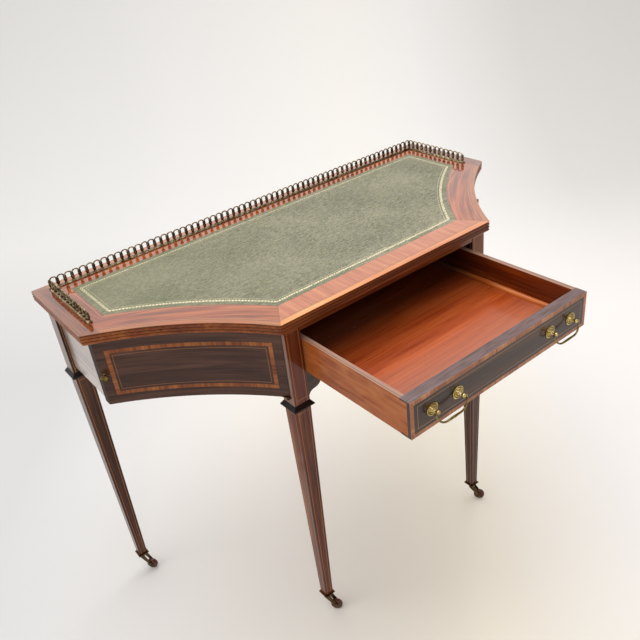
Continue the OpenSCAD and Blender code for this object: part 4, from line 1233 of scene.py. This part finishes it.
def fill_bail(bm, side):
    """Wire that swells towards the middle, with a bead there."""
    points = bail_path(side)
    radii = []
    for point in points:
        reach = abs(point.x - side * HANDLE_X)
        radius = BAIL_END_R + BAIL_SWELL * (1 - min(reach / BAIL_SIDE, 1))
        if reach < BAIL_BEAD_HALF:
            radius = BAIL_BEAD_R
        radii.append(radius)
    add_tube(bm, points, radii, count=14)


KNOB_PROFILE = in_mm(
    (0.1, 0), (3.8, 0), (3.6, 0.8), (2.6, 1.6), (2.3, 3.5), (2.6, 5.6), (4.0, 7.2), (6.0, 8.2),
    (6.8, 9.2), (6.8, 10.6), (6.3, 11.6), (5.4, 11.9), (4.9, 11.3), (4.2, 11.1), (2.4, 11.6), (0.1, 11.8))


def fill_knob(bm, side):
    """Knob near the outer end of a door, pointing straight out of its curved front."""
    angle = DOOR_START - KNOB_IN / DOOR_R
    spot = DOOR_ARC + DOOR_R * Vector((math.cos(angle), math.sin(angle)))
    seat = Matrix.Translation((spot.x, spot.y, (DOOR_Z + DOOR_TOP) / 2 - KNOB_DROP))
    turn = Matrix.Rotation(angle, 4, "Z") @ Matrix.Rotation(-QUARTER_TURN, 4, "Y")
    flip = Matrix.Scale(-1, 4, (1, 0, 0)) if side > 0 else Matrix()
    add_lathe(bm, KNOB_PROFILE, flip @ seat @ turn, count=32)


# Castors: radius and height of the boss, and radius and place along the axle of the wheel and the axle
BOSS_PROFILE = in_mm(
    (4.2, 40.6), (7.2, 40.6), (8.0, 41.6), (8.0, 43.0), (6.9, 44.4), (6.3, 46.0), (7.0, 47.2),
    (6.8, 48.4), (4.2, 48.6))
WHEEL_PROFILE = mirrored(in_mm(
    (2.1, -5), (4.2, -5), (4.8, -4.2), (9.0, -3.6), (10.2, -4.6), (11.4, -4.6), (12.5, -3.6),
    (13.0, -2.0)), y=-1)
AXLE_PROFILE = mirrored(in_mm((0.1, -9), (1.6, -9), (2.6, -8.4), (3.1, -7.9), (2.0, -7.8)), y=-1)
# Cheek of the horn, from the boss down to the axle: distance behind the pivot, height, half width
CHEEK = in_mm(
    (0, 44, 6.2), (1.5, 40.5, 6.4), (4.5, 36, 5.8), (8.5, 30, 5.0), (12.5, 24, 4.4),
    (16, 18.5, 4.2), (19, 13, 4.4), (20.4, 10, 3.2), (21, 8.8, 1.2))
# How far out of the wheel's side the cheek's inner face, its rim and its outer face lie
CHEEK_OUTS = (0.5 * MM, 2.1 * MM, 2.9 * MM)
CHEEK_FLAT_SHARE = 0.6


def castor_seat(name):
    return Matrix.Translation((*LEGS[name], 0)) @ Matrix.Rotation(HEADING, 4, "Z")


def axle_seat(name):
    axle = Matrix.Translation((TRAIL, 0, WHEEL_R)) @ Matrix.Rotation(QUARTER_TURN, 4, "X")
    return castor_seat(name) @ axle


def cheek_section(half):
    """Section of a cheek, as pairs across it and out from the wheel."""
    inner, rim, outer = (WHEEL_HALF + out for out in CHEEK_OUTS)
    flat = half * CHEEK_FLAT_SHARE
    return mirrored([(-half, inner), (-half, rim), (-flat, outer)], x=-1)


def fill_horn(bm, name):
    """Boss, axle and two cheeks of one castor."""
    seat = castor_seat(name)
    add_lathe(bm, BOSS_PROFILE, seat, count=28)
    add_lathe(bm, AXLE_PROFILE, axle_seat(name), count=20)
    for side in (-1, 1):
        rings = []
        for i, (back, height, half) in enumerate(CHEEK):
            before = CHEEK[max(i - 1, 0)]
            after = CHEEK[min(i + 1, len(CHEEK) - 1)]
            way = Vector((after[0] - before[0], 0, after[1] - before[1])).normalized()
            out = Vector((-way.z, 0, way.x))
            spot = Vector((back, 0, height))
            rings.append([seat @ (spot + out * across + Vector((0, side * depth, 0)))
                          for across, depth in cheek_section(half)])
        add_rings(bm, rings)


def build_pieces():
    new_piece("top_moulding", fill_rim, EDGE_WOOD, "table", "edge_wood", "top_board", "top_underboard")
    new_piece("gallery_back_arches", fill_gallery_back, GALLERY_BRASS, "table", "gallery_brass",
              "gallery_back")
    for side, name in ((-1, "left"), (1, "right")):
        new_piece(f"gallery_{name}_arches", lambda bm: fill_gallery_side(bm, side), SIDE_GALLERY_LIT_BRASS,
                  "table", "gallery_brass", f"gallery_{name}")
        new_piece(f"bail_{name}_swan", lambda bm: fill_bail(bm, side), BAIL_SHADED_BRASS,
                  f"bail_{name}", "handle_brass", f"bail_{name}")
        new_piece(f"knob_{name}_turned", lambda bm: fill_knob(bm, side), KNOB_BRASS,
                  f"door_{name}", "handle_brass", f"door_{name}_knob")
    new_piece("roses_turned", fill_roses, ROSE_BRASS, "drawer", "handle_brass", "handle_roses")
    new_piece("posts_turned", fill_posts, POST_LIT_BRASS, "drawer", "handle_brass", "handle_posts")
    for name in LEGS:
        new_piece(f"horn_{name}_cast", lambda bm: fill_horn(bm, name), CASTOR_BRASS,
                  f"swivel_{name}", "castor_brass", f"castor_horn_{name}")
        new_piece(f"wheel_{name}_turned", lambda bm: add_lathe(bm, WHEEL_PROFILE, axle_seat(name), 48),
                  CERAMIC, f"wheel_{name}", "castor_ceramic", f"castor_wheel_{name}")


# Camera and its target in metres: across, in from the back edge, and up
CAMERA_PLACE = (-0.7958, 1.3560, 1.3889)
CAMERA_TARGET = (-0.1407, 0.4214, 0.70)
CAMERA_ROLL = math.radians(-7.207)
CAMERA_LENS = 40.605
CAMERA_SENSOR = 36
CAMERA_SHIFT_Y = -0.0014


def aimed(place, target):
    """Matrix of a camera or lamp at a place, facing a target."""
    turn = (target - place).to_track_quat("-Z", "Y").to_matrix().to_4x4()
    return Matrix.Translation(place) @ turn


def build_camera():
    data = bpy.data.cameras.new("camera")
    data.sensor_width = CAMERA_SENSOR
    data.lens = CAMERA_LENS
    data.shift_y = CAMERA_SHIFT_Y
    camera = bpy.data.objects.new("camera", data)
    aim = aimed(from_back(CAMERA_PLACE), from_back(CAMERA_TARGET))
    camera.matrix_world = aim @ Matrix.Rotation(CAMERA_ROLL, 4, "Z")
    bpy.context.scene.collection.objects.link(camera)
    bpy.context.scene.camera = camera


# Sweep, in metres: its front edge, its far wall, the radius between them, its height and half width
SWEEP_FRONT = -5.0
SWEEP_BACK = 3.2
SWEEP_BEND = 1.5
SWEEP_TOP = 1.7
SWEEP_HALF = 8.0
SWEEP_TURN = math.radians(-35)
SWEEP_STEPS = 16
# Tints from the left of the picture to its right, painted light and shade on the paper: where they lie,
# and the clouds in them
RIGHTWARDS = (0.82, -0.57)
SWEEP_RANGE = (-1.1, 0.7)
SWEEP_LIGHT_TINTS = ("#cbcbca", "#d5d4d3", "#e8e3dc", "#f9f2e2", "#ede9e6")
SWEEP_SPOTS = (0.1, 0.22, 0.52, 0.78, 1.0)
SWEEP_CLOUDS = Pattern((0.7, 0.7, 0.7), 2)
SWEEP_CLOUD_SHARE = 0.1
# Greyer tints far behind the table as painted shade, at the left and the right, where they start, and
# their share
INWARDS = (0.57, 0.82)
FAR_SHADE_TINTS = ("#eae8e6", "#d6d4d1")
FAR_TINT_RANGE = (0.6, 1.2)
FAR_RANGE = (0.9, 2.0)
FAR_SHARE = 0.8


def sweep_look():
    """Pale paper, a little greyer at the left and far away: painted light and shade."""
    look = Look("sweep")
    x, y, z = look.place()
    rightwards = look.minus(look.times(x, RIGHTWARDS[0]), look.times(y, -RIGHTWARDS[1]))
    cloud = look.noise(look.vector(x, y, z), SWEEP_CLOUDS)
    place = look.plus(look.spread(rightwards, *SWEEP_RANGE), look.times(cloud, SWEEP_CLOUD_SHARE))
    tint = look.tints(place, SWEEP_LIGHT_TINTS, SWEEP_SPOTS)
    inwards = look.plus(look.times(x, INWARDS[0]), look.times(y, INWARDS[1]))
    far = look.mix(look.spread(rightwards, *FAR_TINT_RANGE), *(colour(code) for code in FAR_SHADE_TINTS))
    tint = look.mix(look.spread(inwards, *FAR_RANGE, 0, FAR_SHARE), tint, far)
    look.put("Specular IOR Level", 0.2)
    return look.surface(tint, 0.6)


def build_floor():
    """A pale sweep: level floor that curves up into a wall behind the table."""
    section = [(SWEEP_FRONT, 0)]
    for i in range(SWEEP_STEPS + 1):
        angle = QUARTER_TURN * i / SWEEP_STEPS
        y = SWEEP_BACK - SWEEP_BEND + SWEEP_BEND * math.sin(angle)
        section.append((y, SWEEP_BEND - SWEEP_BEND * math.cos(angle)))
    section.append((SWEEP_BACK, SWEEP_TOP))
    bm = bmesh.new()
    turn = Matrix.Rotation(SWEEP_TURN, 4, "Z")
    left, right = ([bm.verts.new(turn @ Vector((x, y, z))) for y, z in section]
                   for x in (-SWEEP_HALF, SWEEP_HALF))
    for i in range(len(section) - 1):
        bm.faces.new((left[i], left[i + 1], right[i + 1], right[i]))
    floor = new_object("sweep", bm, sweep_look())


# Lamps: place, width and height in metres, and power
LAMPS = {
    "ceiling": ((0.2, 0.6, 3.2), (3.0, 3.0), 55),
    "left_wall": ((-3.2, 0.8, 1.9), (2.0, 2.4), 15),
    "window": ((-1.6, -2.6, 2.4), (0.5, 0.7), 9),
}
LAMP_TARGET = (0, 0, 0.6)


def build_lamp(name, place, size, power):
    """Flat lamp that faces the table."""
    data = bpy.data.lights.new(name, "AREA")
    data.shape = "RECTANGLE"
    data.size, data.size_y = size
    data.energy = power
    lamp = bpy.data.objects.new(name, data)
    lamp.matrix_world = aimed(Vector(place), Vector(LAMP_TARGET))
    bpy.context.scene.collection.objects.link(lamp)


SKY_TINT = "#f4f3f2"
BRIGHT_SIDE = Vector((-0.35, 0.8, 0.5)).normalized()
# How far a direction leans to the bright side, from and to, and the strength of the light there
SKY_RANGE = (-0.6, 0.5)
SKY_STRENGTH = (0.45, 1.1)


def build_light():
    """Soft light from all round, brighter behind and to the left, with three soft lamps."""
    world = bpy.data.worlds.new("studio")
    bpy.context.scene.world = world
    world.use_nodes = True
    tree = world.node_tree
    sky = tree.nodes["Background"]
    sky.inputs["Color"].default_value = colour(SKY_TINT)
    facing = tree.nodes.new("ShaderNodeVectorMath")
    facing.operation = "DOT_PRODUCT"
    facing.inputs[1].default_value = BRIGHT_SIDE
    tree.links.new(tree.nodes.new("ShaderNodeTexCoord").outputs["Generated"], facing.inputs[0])
    level = tree.nodes.new("ShaderNodeMapRange")
    for socket, number in zip(level.inputs[1:5], SKY_RANGE + SKY_STRENGTH):
        socket.default_value = number
    tree.links.new(facing.outputs["Value"], level.inputs[0])
    tree.links.new(level.outputs[0], sky.inputs["Strength"])
    for name, (place, size, power) in LAMPS.items():
        build_lamp(name, place, size, power)


dress_nodes()
build_pieces()
build_floor()
build_light()
build_camera()
bpy.context.scene.view_settings.view_transform = "Standard"
